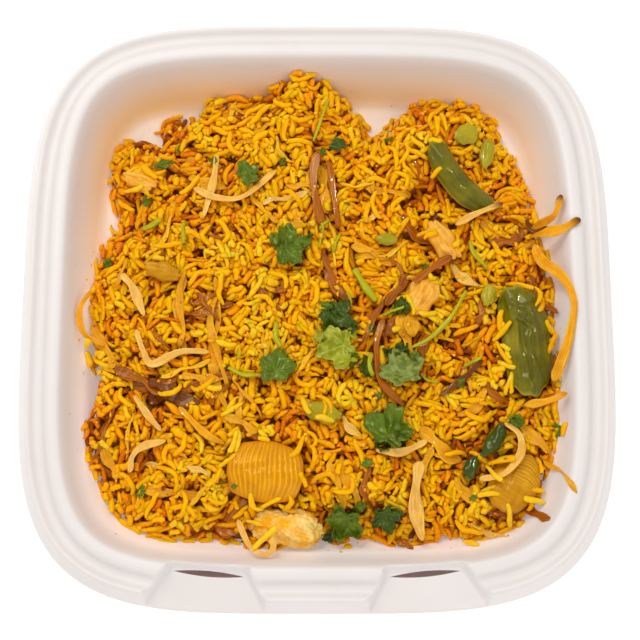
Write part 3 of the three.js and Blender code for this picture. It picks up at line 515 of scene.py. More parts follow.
def white_foam():
    """White foam with a warm tint, partly stain and partly painted shade, and a painted warm glow, where its
    fields say so.
    """
    material, tree, shader = new_material(
        "white_foam", 0.42, Subsurface_Weight=0.25, Subsurface_Scale=0.002, Specular_IOR_Level=0.35,
        Emission_Strength=0.34,
    )
    shader.inputs["Subsurface Radius"].default_value = (1.0, 0.8, 0.7)
    shade = use_group(
        tree, BLOTCHES, Main=(0.755, 0.715, 0.70, 1), Second=(0.73, 0.685, 0.665, 1), Size=45.0,
    )
    stain_and_painted_shade = blend(tree, field(tree, "stain_and_painted_shade"), shade["Color"], STAIN_AND_SHADE)
    # painted warm light: the foam glows as if lit by warm light from the rice
    painted_warm_light = blend(tree, field(tree, "painted_warm_light"), (0, 0, 0, 1), stain_and_painted_shade)
    tree.links.new(painted_warm_light, shader.inputs["Emission Color"])
    where = put(tree, "ShaderNodeNewGeometry").outputs["Position"]
    cells = put(tree, "ShaderNodeTexVoronoi", {"Vector": where, "Scale": 700.0}, feature="SMOOTH_F1")
    grain = use_group(tree, FINE_GRAIN, Size=260.0, Middle=0.42, Swing=0.16)
    normal = bump(tree, cells.outputs["Distance"], 0.00006, 0.35)
    finish_material(tree, shader, stain_and_painted_shade, grain["Roughness"], normal)
    return material

# %% Build the tray
LIP = 1.7  # inset of the skirt's outer edge
RIM_INSET = 24  # the latches are pressed in nearer the edge than this, and above RIM_FOOT
RIM_FOOT = 20
PRESS_ROUNDING = 0.7


def tray_mesh():
    """The section carried round the outline, with the latch recesses pressed in."""
    angles = stations()
    outer, normals = outline(angles)
    section, is_upper = sheet_section()
    inset, is_upper = section[:, :1], is_upper[:, None]
    x, y = (outer[None, :, k] - inset * normals[None, :, k] for k in (0, 1))
    z = np.repeat(section[:, 1:], len(angles), axis=1)
    top, under = recess_height(x, y), recess_height(x, y, SHEET)
    pressed = -soft_high(-z, -np.where(is_upper, top, under), PRESS_ROUNDING)
    skirt = np.minimum(z, np.where(is_upper, top, EVERYTHING))
    z = np.where((inset < RIM_INSET) & (z > RIM_FOOT), np.where(inset < LIP, skirt, pressed), z)
    rows, count = z.shape
    points = np.stack([x, y, z], 2).reshape(-1, 3)
    points = np.concatenate([points, [[0, 0, FLOOR_TOP], [0, 0, section[-1, 1]]]])
    first, last = np.arange(count), np.arange(count) + (rows - 1) * count
    fans = [fan_faces(rows * count, first), fan_faces(rows * count + 1, last, True)]
    return build_mesh("tray_foam", points, [ring_faces(rows, count, True), *fans])


def cut_slot(tray, side):
    """Cuts the slot of the left (-1) or the right (1) latch through the sheet."""
    cutter = bpy.data.objects.new("slot_cutter", slot_cutter(side))
    bpy.context.scene.collection.objects.link(cutter)
    cut = tray.modifiers.new("slot", "BOOLEAN")
    cut.operation, cut.solver, cut.object = "DIFFERENCE", "MANIFOLD", cutter
    apply_modifiers(tray)
    bpy.data.objects.remove(cutter)


def apply_modifiers(piece):
    """Replaces a piece's mesh by what its modifiers make of it."""
    bpy.context.view_layer.update()
    evaluated = piece.evaluated_get(bpy.context.evaluated_depsgraph_get())
    mesh = bpy.data.meshes.new_from_object(evaluated)
    piece.modifiers.clear()
    piece.data = mesh


tray = add_piece("tray_foam", tray_mesh(), white_foam(), ["tray"])
for side in (-1, 1):
    cut_slot(tray, side)
tray.data.set_sharp_from_angle(angle=math.radians(50))
print("tray faces:", len(tray.data.polygons))

# %% Where the foam is stained, and where shade and warm light are painted
# The warm tint, partly stain and partly painted shade, is strong at the back wall, which is in shade,
# and fades to the front and the right. The painted warm light is stronger at the front, where the wall
# faces the window. Both end at the rim.
INSIDE_FROM, INSIDE_OVER = 18, 6  # the inside starts at this inset and is full this much further in
RIM_LEVEL, WALL_DEPTH = 36, 26
FOOT_LEVEL, FOOT_DEPTH = 9, 5


def share_of(values, low=0, high=1):
    """Values kept between two limits."""
    return np.clip(values, low, high)


places, ups = np.empty((2, 3 * len(tray.data.vertices)))
tray.data.vertices.foreach_get("co", places)
tray.data.vertices.foreach_get("normal", ups)
x, y, z = places.reshape(-1, 3).T / MM
inside = share_of((inset_of(x, y) - INSIDE_FROM) / INSIDE_OVER) * share_of(4 * ups[2::3])
inside = inside * share_of((RIM_LEVEL - z) / WALL_DEPTH) ** 0.6
low_down = share_of((FOOT_LEVEL - z) / FOOT_DEPTH)
# painted shade: the tint is strongest on the back and left walls, which face away from the window
stain_and_shade_share = share_of(0.36 + 0.0067 * y, 0.05) * (1 - 0.45 * share_of(x / 90))
set_field(tray.data, "stain_and_painted_shade", inside * stain_and_shade_share * (1 - 0.6 * low_down))
# painted warm light, stronger on the front wall, which faces the window, and low down near the tray's floor
set_field(tray.data, "painted_warm_light", inside * (share_of(1.05 - 0.0085 * y, 0.15, 1.3) + 0.5 * low_down))
print("stained points:", int((inside * stain_and_shade_share > 0.1).sum()))

# %% [markdown]
# ## Reading the heap's form
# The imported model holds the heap's shape: its mounds, its ragged edge, the sockets of the pieces
# that sit in it and the places where a topping presses it down. Rays cast straight down on those
# solids give maps of heights on a fine grid. The grains are then laid to that map, so the dressed
# heap keeps the solid's form without any fitting.

# %% Height maps
CELL = 0.5  # side of a map cell
SPAN = 125.0  # the map reaches this far each way
SIDE = int(2 * SPAN / CELL)
AXIS = -SPAN + CELL * (np.arange(SIDE) + 0.5)
GRID_X, GRID_Y = np.meshgrid(AXIS, AXIS)
DOWN = Vector((0, 0, -1))
UP = Vector((0, 0, 1))
ABOVE, BELOW = 100, -10  # where the rays start


def cell_of(x, y):
    """Row and column of the cell that holds a point."""
    column = np.clip(((np.asarray(x) + SPAN) / CELL).astype(int), 0, SIDE - 1)
    row = np.clip(((np.asarray(y) + SPAN) / CELL).astype(int), 0, SIDE - 1)
    return row, column


def solid_tree(name):
    """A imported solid, ready for rays, in millimetres."""
    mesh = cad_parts[name].data
    points = [vertex.co / MM for vertex in mesh.vertices]
    return BVHTree.FromPolygons(points, [face.vertices[:] for face in mesh.polygons])


def window_of(low_x, low_y, high_x, high_y):
    """The rows and columns of the grid that a box covers."""
    (row0, column0), (row1, column1) = cell_of(low_x, low_y), cell_of(high_x, high_y)
    return slice(row0, row1 + 1), slice(column0, column1 + 1)


def cast_map(name, tree, step=1):
    """Maps of a solid's top and underside."""
    top = np.full((SIDE, SIDE), NOTHING)
    under = np.full((SIDE, SIDE), EVERYTHING)
    low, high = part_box(name)
    rows, columns = window_of(low.x / MM, low.y / MM, high.x / MM, high.y / MM)
    for row in range(rows.start, rows.stop, step):
        for column in range(columns.start, columns.stop, step):
            x, y = AXIS[column], AXIS[row]
            hit = tree.ray_cast(Vector((x, y, ABOVE)), DOWN)[0]
            if hit is not None:
                cells = slice(row, row + step), slice(column, column + step)
                top[cells] = hit.z
                under[cells] = tree.ray_cast(Vector((x, y, BELOW)), UP)[0].z
    return top, under


SOLIDS = {name: solid_tree(name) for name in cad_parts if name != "tray"}
TOPPING_NAMES = sorted(name for name in SOLIDS if name != "rice")
topping_top = np.full((SIDE, SIDE), NOTHING)
topping_under = np.full((SIDE, SIDE), EVERYTHING)
for name in TOPPING_NAMES:
    top, under = cast_map(name, SOLIDS[name])
    topping_top = np.maximum(topping_top, top)
    topping_under = np.minimum(topping_under, under)
rice_top, _ = cast_map("rice", SOLIDS["rice"], 2)
tray_inset = inset_of(GRID_X, GRID_Y)
wall = np.array((INNER_WALL + RIM_TOP)[::-1])
tray_top = np.interp(tray_inset, wall[:, 0], wall[:, 1])
print("heap cells:", int((rice_top > 0).sum()), "topping cells:", int((topping_top > 0).sum()))

# %% [markdown]
# ## The form that the grains are laid to
# The solid's top is smooth, but cooked rice sticks together in clumps, with cracks and holes between
# them. Noise would give soft waves. Uneven cells, as in a dry lake bed, give clumps with cracks between
# them, so two sizes of cells lift and lower the map a little, and a few deep holes are pressed in.

# %% Map helpers
def shifted(grid, rows, columns):
    """A map moved by whole cells."""
    return np.roll(grid, (rows, columns), (0, 1))


def softened(grid, passes):
    """A map blurred that many times over its next cells."""
    for _ in range(passes):
        grid = (shifted(grid, 1, 0) + shifted(grid, -1, 0) + 2 * grid) / 4
        grid = (shifted(grid, 0, 1) + shifted(grid, 0, -1) + 2 * grid) / 4
    return grid


def clump_map(spacing, seed):
    """Uneven cells: how far from a crack each place is, and one random number for each cell."""
    dice = np.random.default_rng(seed)
    side = int(2 * SPAN / spacing) + 6
    shift_x, shift_y = dice.uniform(-0.5, 0.5, (2, side, side))
    lift = dice.random((side, side))
    warped_x = GRID_X + 0.22 * spacing * np.sin(GRID_Y * 2.1 / spacing + seed)
    warped_y = GRID_Y + 0.22 * spacing * np.sin(GRID_X * 1.9 / spacing + 2 * seed)
    row, column = (np.floor((warped + SPAN) / spacing).astype(int) + 2 for warped in (warped_y, warped_x))
    first = second = np.full((SIDE, SIDE), EVERYTHING)
    own = np.zeros((SIDE, SIDE))
    for i in (-1, 0, 1):
        for j in (-1, 0, 1):
            r, c = row + i, column + j
            away = np.hypot(warped_x - (c - 1.5 + shift_x[r, c]) * spacing + SPAN,
                            warped_y - (r - 1.5 + shift_y[r, c]) * spacing + SPAN)
            own = np.where(away < first, lift[r, c], own)
            second = np.minimum(second, np.maximum(first, away))
            first = np.minimum(first, away)
    return np.clip((second - first) / (0.55 * spacing), 0, 1), own

# %% The wanted height
SKIRT_STEPS = 6  # cells that the rice runs on past the solid's steep side
SKIRT_DROP = 1.5
BRIDGE = 2.2  # how far a grain may stand above the wanted height, so that none bridges a hole
HEAP = rice_top > 0
target = np.where(HEAP, rice_top, tray_top)
for _ in range(SKIRT_STEPS):
    around = [shifted(target, r, c) for r, c in ((0, 1), (0, -1), (1, 0), (-1, 0))]
    target = np.maximum(target, np.max(around, 0) - SKIRT_DROP)
smooth_target = softened(target, 8)
under_topping = topping_under < EVERYTHING
target = np.where(
    under_topping, np.minimum(target, topping_under - 0.5), np.minimum(smooth_target, target + 0.5),
)
target = np.maximum(target, tray_top)
top_roof = np.where(under_topping, topping_under - 0.1, smooth_target + BRIDGE)
room = np.clip((smooth_target - tray_top - 1.5) / 6, 0, 1)
clump_tone = np.zeros((SIDE, SIDE))
# Each size of clump: width, rise, depth of its cracks, share of the tone, seed.
CLUMPS = ((14.0, 2.2, 3.0, 0.6, 3), (7.0, 1.2, 1.4, 0.4, 4))
for spacing, rise, crack, weight, seed in CLUMPS:
    middle, lift = clump_map(spacing, seed)
    target = target + room * (rise * (softened(lift, 3) - 0.5) - crack * (1 - middle) ** 2)
    clump_tone += weight * (0.7 * lift + 0.3 * middle)

# %% Holes between clumps
# Each hole: x, y, radius, depth.
PITS = [
    (46, 49, 6, 9), (18.5, 46.5, 3, 4), (-67, -31, 7, 4), (56, 5, 3.5, 4), (42, -26, 4, 4.5),
    (73, -33, 3.5, 4), (72, 26, 3.5, 4), (-76, 11, 3, 3.5), (-73, -21, 4, 4), (-38, 3, 3.5, 4),
    (-81, -11, 4, 3.5), (-3.5, -13, 3, 4), (2, 16, 3, 3), (-23, -5, 2.5, 3), (9.5, 5, 3, 4),
    (-21, -32, 3, 3), (-48, 24, 3, 3), (60, -60, 4, 4), (35, -40, 3, 4), (-2, -72, 3, 3),
    (-50, -74, 4, 3), (24, 66, 3, 3), (-30, 30, 3, 3),
]
for x, y, radius, drop in PITS:
    target = target - room * drop * np.exp(-((GRID_X - x) ** 2 + (GRID_Y - y) ** 2) / radius**2)
target = np.maximum(target, tray_top)
CORE_DEPTH = 5.0
core_top = np.maximum(np.minimum(softened(target, 6), target) - CORE_DEPTH, FLOOR_TOP + 0.2)
height = np.maximum(tray_top, np.where(HEAP, core_top, tray_top))
print(f"highest rice wanted: {target[HEAP].max():.1f} mm")

# %% [markdown]
# ## A grain
# A boiled long grain is a soft spindle with blunt ends, a little bent, and never quite round. Some
# are broken. All grains share one pattern of faces: rings along the grain and a point at each end.
# So one function can make every grain of a kind at once, from arrays of places and turns.

# %% Grains as one mesh
GRAIN_SIDES = 7
RING_PLACES = np.array([-0.96, -0.78, -0.4, 0, 0.4, 0.78, 0.96])
RING_WIDTHS = np.array([0.55, 0.86, 1.0, 1.02, 1.0, 0.86, 0.55])


def grain_faces(count):
    """Faces of that many grains: quads along the sides, triangles at the ends."""
    rings = len(RING_PLACES)
    first, per_grain = np.arange(GRAIN_SIDES), rings * GRAIN_SIDES + 2
    sides = ring_faces(rings, GRAIN_SIDES)
    last = first + (rings - 1) * GRAIN_SIDES
    ends = np.concatenate([fan_faces(per_grain - 2, first, True), fan_faces(per_grain - 1, last)])
    step = np.arange(count)[:, None, None] * per_grain
    return (sides + step).reshape(-1, 4), (ends + step).reshape(-1, 3)


def grain_points(grains, dice):
    """Points of all grains: columns are x, y, z, yaw, pitch, length, radius, bend, arch."""
    x, y, z, yaw, pitch, length, radius, bend, arch = grains.T[:, :, None]
    count = len(grains)
    ahead = np.stack([np.cos(yaw) * np.cos(pitch), np.sin(yaw) * np.cos(pitch), np.sin(pitch)], 2)
    aside = np.stack([-np.sin(yaw), np.cos(yaw), 0 * yaw], 2)
    above = np.cross(ahead, aside)
    middle = np.stack([x, y, z], 2)
    places = np.concatenate([RING_PLACES, [-1, 1]])[None, :]
    curve = (1 - places**2) - 0.5
    line = middle + ahead * (places * length / 2)[:, :, None]
    wave = bend * curve + dice.normal(0, 0.22, (count, 1)) * np.sin(math.pi * places)
    line = line + aside * wave[:, :, None] + above * (arch * curve)[:, :, None]
    around = 2 * math.pi * np.arange(GRAIN_SIDES) / GRAIN_SIDES
    uneven = 1 + 0.08 * dice.standard_normal((count, len(RING_PLACES), GRAIN_SIDES))
    swell = 1 + dice.normal(0, 0.09, (count, len(RING_PLACES), 1))
    swell = swell + dice.normal(0, 0.15, (count, 1, 1)) * RING_PLACES[:, None]
    width = radius[:, :, None] * RING_WIDTHS[None, :, None] * uneven * np.clip(swell, 0.6, 1.35)
    flat = dice.uniform(0.75, 1.0, (count, 1, 1, 1))
    out = np.cos(around)[None, None, :, None] * aside[:, :, None, :]
    out = out + flat * np.sin(around)[None, None, :, None] * above[:, :, None, :]
    rings = line[:, : len(RING_PLACES), None, :] + width[:, :, :, None] * out
    return np.concatenate([rings.reshape(count, -1, 3), line[:, len(RING_PLACES):, :]], 1)

# %% [markdown]
# ## Laying the grains
# A physics engine could drop seven thousand grains, but it would take minutes and would not keep
# the heap's form. Instead each grain is laid on the map of heights so far. It goes where the heap
# is furthest below its wanted height, lies on the two highest points under it, and then raises the
# map by its own body. A grain that would touch the underside of a topping is not laid.

# %% Laying one grain
STATIONS = np.linspace(-0.9, 0.9, 9)
BEHIND = STATIONS < 0.01
STEEPEST = math.tan(math.radians(33))
SINK = 1.2  # boiled grains press a little into each other


def resting_line(support, along):
    """Height at the middle and slope of a rod that rests on these points."""
    i, j = np.nonzero(BEHIND)[0], np.nonzero(~BEHIND)[0]
    span = along[j][None, :] - along[i][:, None]
    at_middle = (support[i][:, None] * along[j][None, :] - support[j][None, :] * along[i][:, None]) / span
    a, b = np.unravel_index(np.argmax(at_middle), at_middle.shape)
    slope = (support[j[b]] - support[i[a]]) / span[a, b]
    slope = min(max(slope, -STEEPEST), STEEPEST)
    return (support - slope * along).max(), slope


def rest_grain(ground, x, y, yaw, length, radius, bend):
    """The height and slope at which a grain comes to rest on the ground map."""
    c, s = math.cos(yaw), math.sin(yaw)
    along = STATIONS * length / 2
    aside = bend * (0.5 - STATIONS**2)
    support = np.full(len(along), NOTHING)
    for off in (-0.6 * radius, 0.0, 0.6 * radius):
        row, column = cell_of(x + c * along - s * (aside + off), y + s * along + c * (aside + off))
        support = np.maximum(support, ground[row, column])
    middle, slope = resting_line(support + radius * 0.92, along)
    return middle - SINK, slope


def lay_grain(ground, roof, x, y, yaws, length, radius, bend):
    """Tries a few headings, takes the one that nests lowest and raises the map; None if it won't fit."""
    rests = [(*rest_grain(ground, x, y, yaw, length, radius, bend), yaw) for yaw in yaws]
    middle, slope, yaw = min(rests)
    c, s = math.cos(yaw), math.sin(yaw)
    reach = length / 2 + radius
    window = window_of(x - reach, y - reach, x + reach, y + reach)
    dx, dy = GRID_X[window] - x, GRID_Y[window] - y
    u = c * dx + s * dy
    v = -s * dx + c * dy - bend * (0.5 - (2 * u / length) ** 2)
    end = np.clip(1 - np.maximum(np.abs(2 * u / length) - 0.6, 0) / 0.4, 0, 1)
    inside = radius**2 * np.sqrt(end) - v**2
    covered = (inside > 0) & (np.abs(u) < length / 2)
    top = middle + slope * u + 0.92 * np.sqrt(np.maximum(inside, 0))
    if not covered.any() or (top > roof[window])[covered].any():
        return None
    ground[window] = np.where(covered, np.maximum(ground[window], top), ground[window])
    return middle, math.atan(slope), yaw

# %% The lie of the grains
RANDOM = np.random.default_rng(7)


def heading_at(x, y):
    """Grains that stick together lie much the same way; the way drifts over the heap."""
    drift = math.sin(x / 17 + 1.1) + math.sin(y / 13 + 0.4 * x / 13) + math.sin((x - y) / 11 + 2)
    return math.radians(90 + 34 * drift) + RANDOM.normal(0, 0.85)


def random_grain(whole_share=0.72):
    """Length, radius, sideways bend and upward arch of one grain."""
    whole = RANDOM.random() < whole_share
    length = np.clip(RANDOM.normal(9.8, 1.7), 6.5, 13.5) if whole else RANDOM.uniform(3.4, 6.2)
    hooked = whole and RANDOM.random() < 0.12
    bend = RANDOM.uniform(1.4, 2.8) if hooked else abs(RANDOM.normal(0, 0.45))
    radius = np.clip(RANDOM.normal(1.22, 0.17), 0.85, 1.65)
    return length, radius, bend * RANDOM.choice([-1, 1]), RANDOM.normal(0, 0.2)


def lay_until(wanted, ground, roof, spots, shortfall, limit, whole_share=0.72, patience=150):
    """Lays grains at the deepest of a few random spots until nothing is lower than the shortfall."""
    laid, misses = [], 0
    rows, columns = spots
    wanted = wanted.copy()
    while len(laid) < limit and misses < patience:
        pick = RANDOM.integers(0, len(rows), 40)
        lack = wanted[rows[pick], columns[pick]] - ground[rows[pick], columns[pick]]
        best = pick[np.argmax(lack)]
        if lack.max() < shortfall:
            misses += 1
            continue
        x = AXIS[columns[best]] + RANDOM.uniform(-0.3, 0.3)
        y = AXIS[rows[best]] + RANDOM.uniform(-0.3, 0.3)
        length, radius, bend, arch = random_grain(whole_share)
        yaws = [heading_at(x, y) for _ in range(5)]
        found = lay_grain(ground, roof, x, y, yaws, length, radius, bend)
        misses = 0
        if found is None:  # nothing fits here, so the spot is given up
            row, column = rows[best], columns[best]
            wanted[row - 1:row + 2, column - 1:column + 2] = NOTHING
            continue
        laid.append((x, y, found[0], found[2], found[1], length, radius, bend, arch))
    return laid

# %% Lower grains
open_spots = np.nonzero((target > tray_top + 1.0) & (topping_under > target + 1.2))
ceiling = np.minimum(top_roof, target + BRIDGE)
lower_grains = lay_until(target - 2.6, height, ceiling - 1.4, open_spots, 0.6, 7500)
print("lower grains:", len(lower_grains))

# %% [markdown]
# ## Strands
# Onion shreds, stalks and strips are all one form: a flat section carried along a curved line. A
# curve object with a bevel could do it, but a shred's section is cupped, its width changes and its
# ends taper, so the section is worked out here. Each point also keeps how far along and how far
# across the strand it is, which the fibre pattern needs later.

# %% A smooth line
def smooth_line(through, spacing):
    """Evenly spaced points on a smooth curve through a few points of any dimension."""
    knots = np.asarray(through, float)
    padded = np.concatenate([[2 * knots[0] - knots[1]], knots, [2 * knots[-1] - knots[-2]]])
    fine = []
    for a, b, c, d in zip(padded, padded[1:], padded[2:], padded[3:]):
        for t in np.linspace(0, 1, 24, endpoint=False):
            fine.append(0.5 * (2 * b + (c - a) * t + (2 * a - 5 * b + 4 * c - d) * t**2
                               + (3 * b - a - 3 * c + d) * t**3))
    fine = np.array(fine + [knots[-1]])
    gone = np.concatenate([[0], np.cumsum(np.linalg.norm(np.diff(fine, axis=0), axis=1))])
    places = np.linspace(0, gone[-1], max(4, round(gone[-1] / spacing)) + 1)
    return np.stack([np.interp(places, gone, fine[:, k]) for k in range(fine.shape[1])], 1)

# %% One strand
SECTION = 10  # points round a strand


def strand_part(line, half_width, half_depth, cup=0.0, roll=0.0, taper=0.3):
    """A cupped strip along a line of points in space: (points, face arrays, fields)."""
    count = len(line)
    ahead = np.gradient(line, axis=0)
    ahead /= np.linalg.norm(ahead, axis=1)[:, None]
    aside = np.cross([0, 0, 1.0], ahead)
    aside /= np.linalg.norm(aside, axis=1)[:, None] + 1e-9
    above = np.cross(ahead, aside)
    turn = np.broadcast_to(roll, count)[:, None]
    aside, above = (
        np.cos(turn) * aside + np.sin(turn) * above, np.cos(turn) * above - np.sin(turn) * aside,
    )
    share = np.linspace(0, 1, count)
    ends = np.clip(np.minimum(share, 1 - share) * count / 3, 0, 1)
    width = np.broadcast_to(half_width, count) * (taper + (1 - taper) * np.sqrt(ends))
    depth = half_depth * (0.5 + 0.5 * ends)
    around = 2 * math.pi * (np.arange(SECTION) + 0.5) / SECTION
    across = np.sign(np.cos(around)) * np.abs(np.cos(around)) ** 0.75
    rise = depth[:, None] * np.sin(around) + cup * width[:, None] * (across**2 - 0.5)
    points = line[:, None, :] + (width[:, None] * across)[:, :, None] * aside[:, None, :]
    points = points + rise[:, :, None] * above[:, None, :]
    tips = line[[0, -1]] + ahead[[0, -1]] * np.array([[-0.25], [0.25]]) * depth[[0, -1], None]
    first, last = np.arange(SECTION), np.arange(SECTION) + (count - 1) * SECTION
    caps = np.concatenate([fan_faces(count * SECTION, first, True), fan_faces(count * SECTION + 1, last)])
    gone = np.concatenate([[0], np.cumsum(np.linalg.norm(np.diff(line, axis=0), axis=1))])
    fields = {
        "along": np.concatenate([np.repeat(gone, SECTION), [0, gone[-1]]]),
        "across": np.concatenate([np.tile(across, count), [0, 0]]),
        "share": np.concatenate([np.repeat(share, SECTION), [0, 1]]),
    }
    return np.concatenate([points.reshape(-1, 3), tips]), [ring_faces(count, SECTION), caps], fields

# %% Joining and laying strands
def join_parts(name, parts):
    """One mesh from many parts, with their fields."""
    points, faces, fields, before = [], [], {}, 0
    for part_points, part_faces, part_fields in parts:
        points.append(part_points)
        faces += [f + before for f in part_faces]
        for key, values in part_fields.items():
            fields.setdefault(key, []).append(values)
        before += len(part_points)
    by_size = {}
    for f in faces:
        by_size.setdefault(f.shape[1], []).append(f)
    mesh = build_mesh(name, np.concatenate(points), [np.concatenate(group) for group in by_size.values()])
    for key, values in fields.items():
        set_field(mesh, key, np.concatenate(values))
    return mesh


def lie_on(ground, line, half_width, clearance):
    """Heights for a flat line of points, so that a strip of that width lies on the ground map."""
    highest = np.full(len(line), NOTHING)
    ahead = np.gradient(line, axis=0)
    ahead /= np.linalg.norm(ahead, axis=1)[:, None]
    for off in (-0.8, -0.3, 0.3, 0.8):
        x = line[:, 0] - ahead[:, 1] * off * half_width
        y = line[:, 1] + ahead[:, 0] * off * half_width
        highest = np.maximum(highest, ground[cell_of(x, y)])
    for _ in range(3):
        highest[1:-1] = np.maximum(highest[1:-1], (highest[:-2] + highest[2:]) / 2 - 0.15)
    soft = np.convolve(np.pad(highest, 2, "edge"), [0.1, 0.2, 0.4, 0.2, 0.1], "valid")
    return np.maximum(soft, highest - 0.3) + clearance


def raise_ground(ground, line, half_width, half_depth):
    """Marks a laid strand on the ground map."""
    for (x, y, z), width in zip(line, np.broadcast_to(half_width, len(line))):
        window = window_of(x - width, y - width, x + width, y + width)
        near = np.hypot(GRID_X[window] - x, GRID_Y[window] - y) <= width
        ground[window] = np.where(near, np.maximum(ground[window], z + half_depth), ground[window])

# %% [markdown]
# ## Soft fried onion between the grains
# Much of the onion has cooked down to brown, see-through ribbons that lie half under the rice. They
# go in before the last layer of grains, so that grains lie across them. Each is a short wandering
# line: a start, a heading and a bend are enough, and the place where it lies comes from the map.

# %% Onion ribbons in the rice
# Each ribbon: x, y, heading in degrees, length, width, bend in degrees along its length, shade.
BURIED_RIBBONS = [
    (2, 24, -80, 24, 4.5, 25, "brown"), (14, 22, -15, 22, 5, 30, "amber"),
    (-24, 8, -60, 14, 4, 40, "brown"), (-53, 14, -95, 34, 4, 10, "amber"),
    (-42, 6, -88, 48, 4.5, 8, "amber"), (-52, -2, 0, 18, 4, 30, "brown"),
    (-58, -33, 5, 26, 4.5, 20, "brown"), (-76, -30, -20, 20, 6, 50, "brown"),
    (-68, -38, 15, 22, 7, -40, "burnt"), (44, 14, -115, 30, 5, -20, "brown"),
    (36, 2, -100, 26, 6, 30, "amber"), (48, -6, -120, 24, 5, 20, "brown"),
    (70, 24, 10, 18, 5, 60, "brown"), (82, 12, -60, 16, 5, 20, "brown"),
    (10, -58, -80, 22, 5, 20, "amber"), (-38, -84, 20, 14, 4, 40, "brown"),
    (-64, 30, 60, 18, 3, 20, "amber"), (-50, 34, -10, 16, 2.5, 10, "brown"),
    (-8, 44, -95, 20, 5, 20, "amber"), (0, 62, -85, 22, 6, 10, "amber"),
    (54, -66, -60, 22, 6, 40, "amber"), (66, -82, 10, 20, 5, 30, "brown"),
    (84, -58, -100, 20, 5, 20, "amber"), (30, -34, -95, 18, 5, -30, "brown"),
    (-30, -50, -30, 22, 4, -30, "brown"), (-70, -70, -30, 24, 5, 40, "amber"),
    (-84, -52, -80, 16, 5, 20, "amber"), (18, 52, -30, 20, 4, 40, "amber"),
    (34, 40, -60, 18, 5, 30, "brown"), (44, 44, -80, 16, 6, 40, "burnt"),
    (-56, 64, -30, 16, 5, 30, "amber"), (-34, 70, 20, 18, 4, 30, "amber"),
    (66, 44, -70, 18, 5, 20, "amber"), (-10, -36, -20, 20, 4, 40, "amber"),
    (54, -44, 20, 20, 5, 50, "amber"), (-20, -8, -100, 18, 3.5, 40, "amber"),
]


def ribbon_line(x, y, heading, length, bend, spacing=1.2):
    """A flat curved line of points that starts at a place and turns steadily with a little wander."""
    count = max(5, round(length / spacing))
    share = np.linspace(0, 1, count)
    wander = 14 * np.sin(7 * share + x) + 8 * np.sin(15 * share + y)
    turn = np.radians(heading + bend * share + wander)
    step = length / (count - 1)
    return np.stack([x + np.cumsum(np.cos(turn)) * step, y + np.cumsum(np.sin(turn)) * step], 1)


def lay_ribbon(ground, roof, x, y, heading, length, width, bend, sink=0.3, depth=0.35):
    """A ribbon that lies on the ground map, stays under the roof map, and raises the ground."""
    line = ribbon_line(x, y, heading, length, bend)
    half_width = width / 2 * (0.75 + 0.25 * np.sin(np.linspace(0, 3 * math.pi, len(line)) + x))
    heights = lie_on(ground, line, width / 2, depth - sink)
    heights = np.minimum(heights, roof[cell_of(*line.T)] - depth)
    path = np.column_stack([line, heights])
    roll = 0.35 * np.sin(np.linspace(0, 5, len(line)) + y)
    raise_ground(ground, path, half_width * 0.9, depth)
    return strand_part(path, half_width, depth, cup=0.22, roll=roll)


buried = {"amber": [], "brown": [], "burnt": []}
for *shape, shade in BURIED_RIBBONS:
    buried[shade].append(lay_ribbon(height, ceiling, *shape))
upper_spots = np.nonzero((target > tray_top + 0.8) & (topping_under > target + 1.2))
upper_grains = lay_until(target - 1.6, height, ceiling, upper_spots, 0.5, 5200)
print("ribbons:", len(BURIED_RIBBONS), "upper grains:", len(upper_grains))

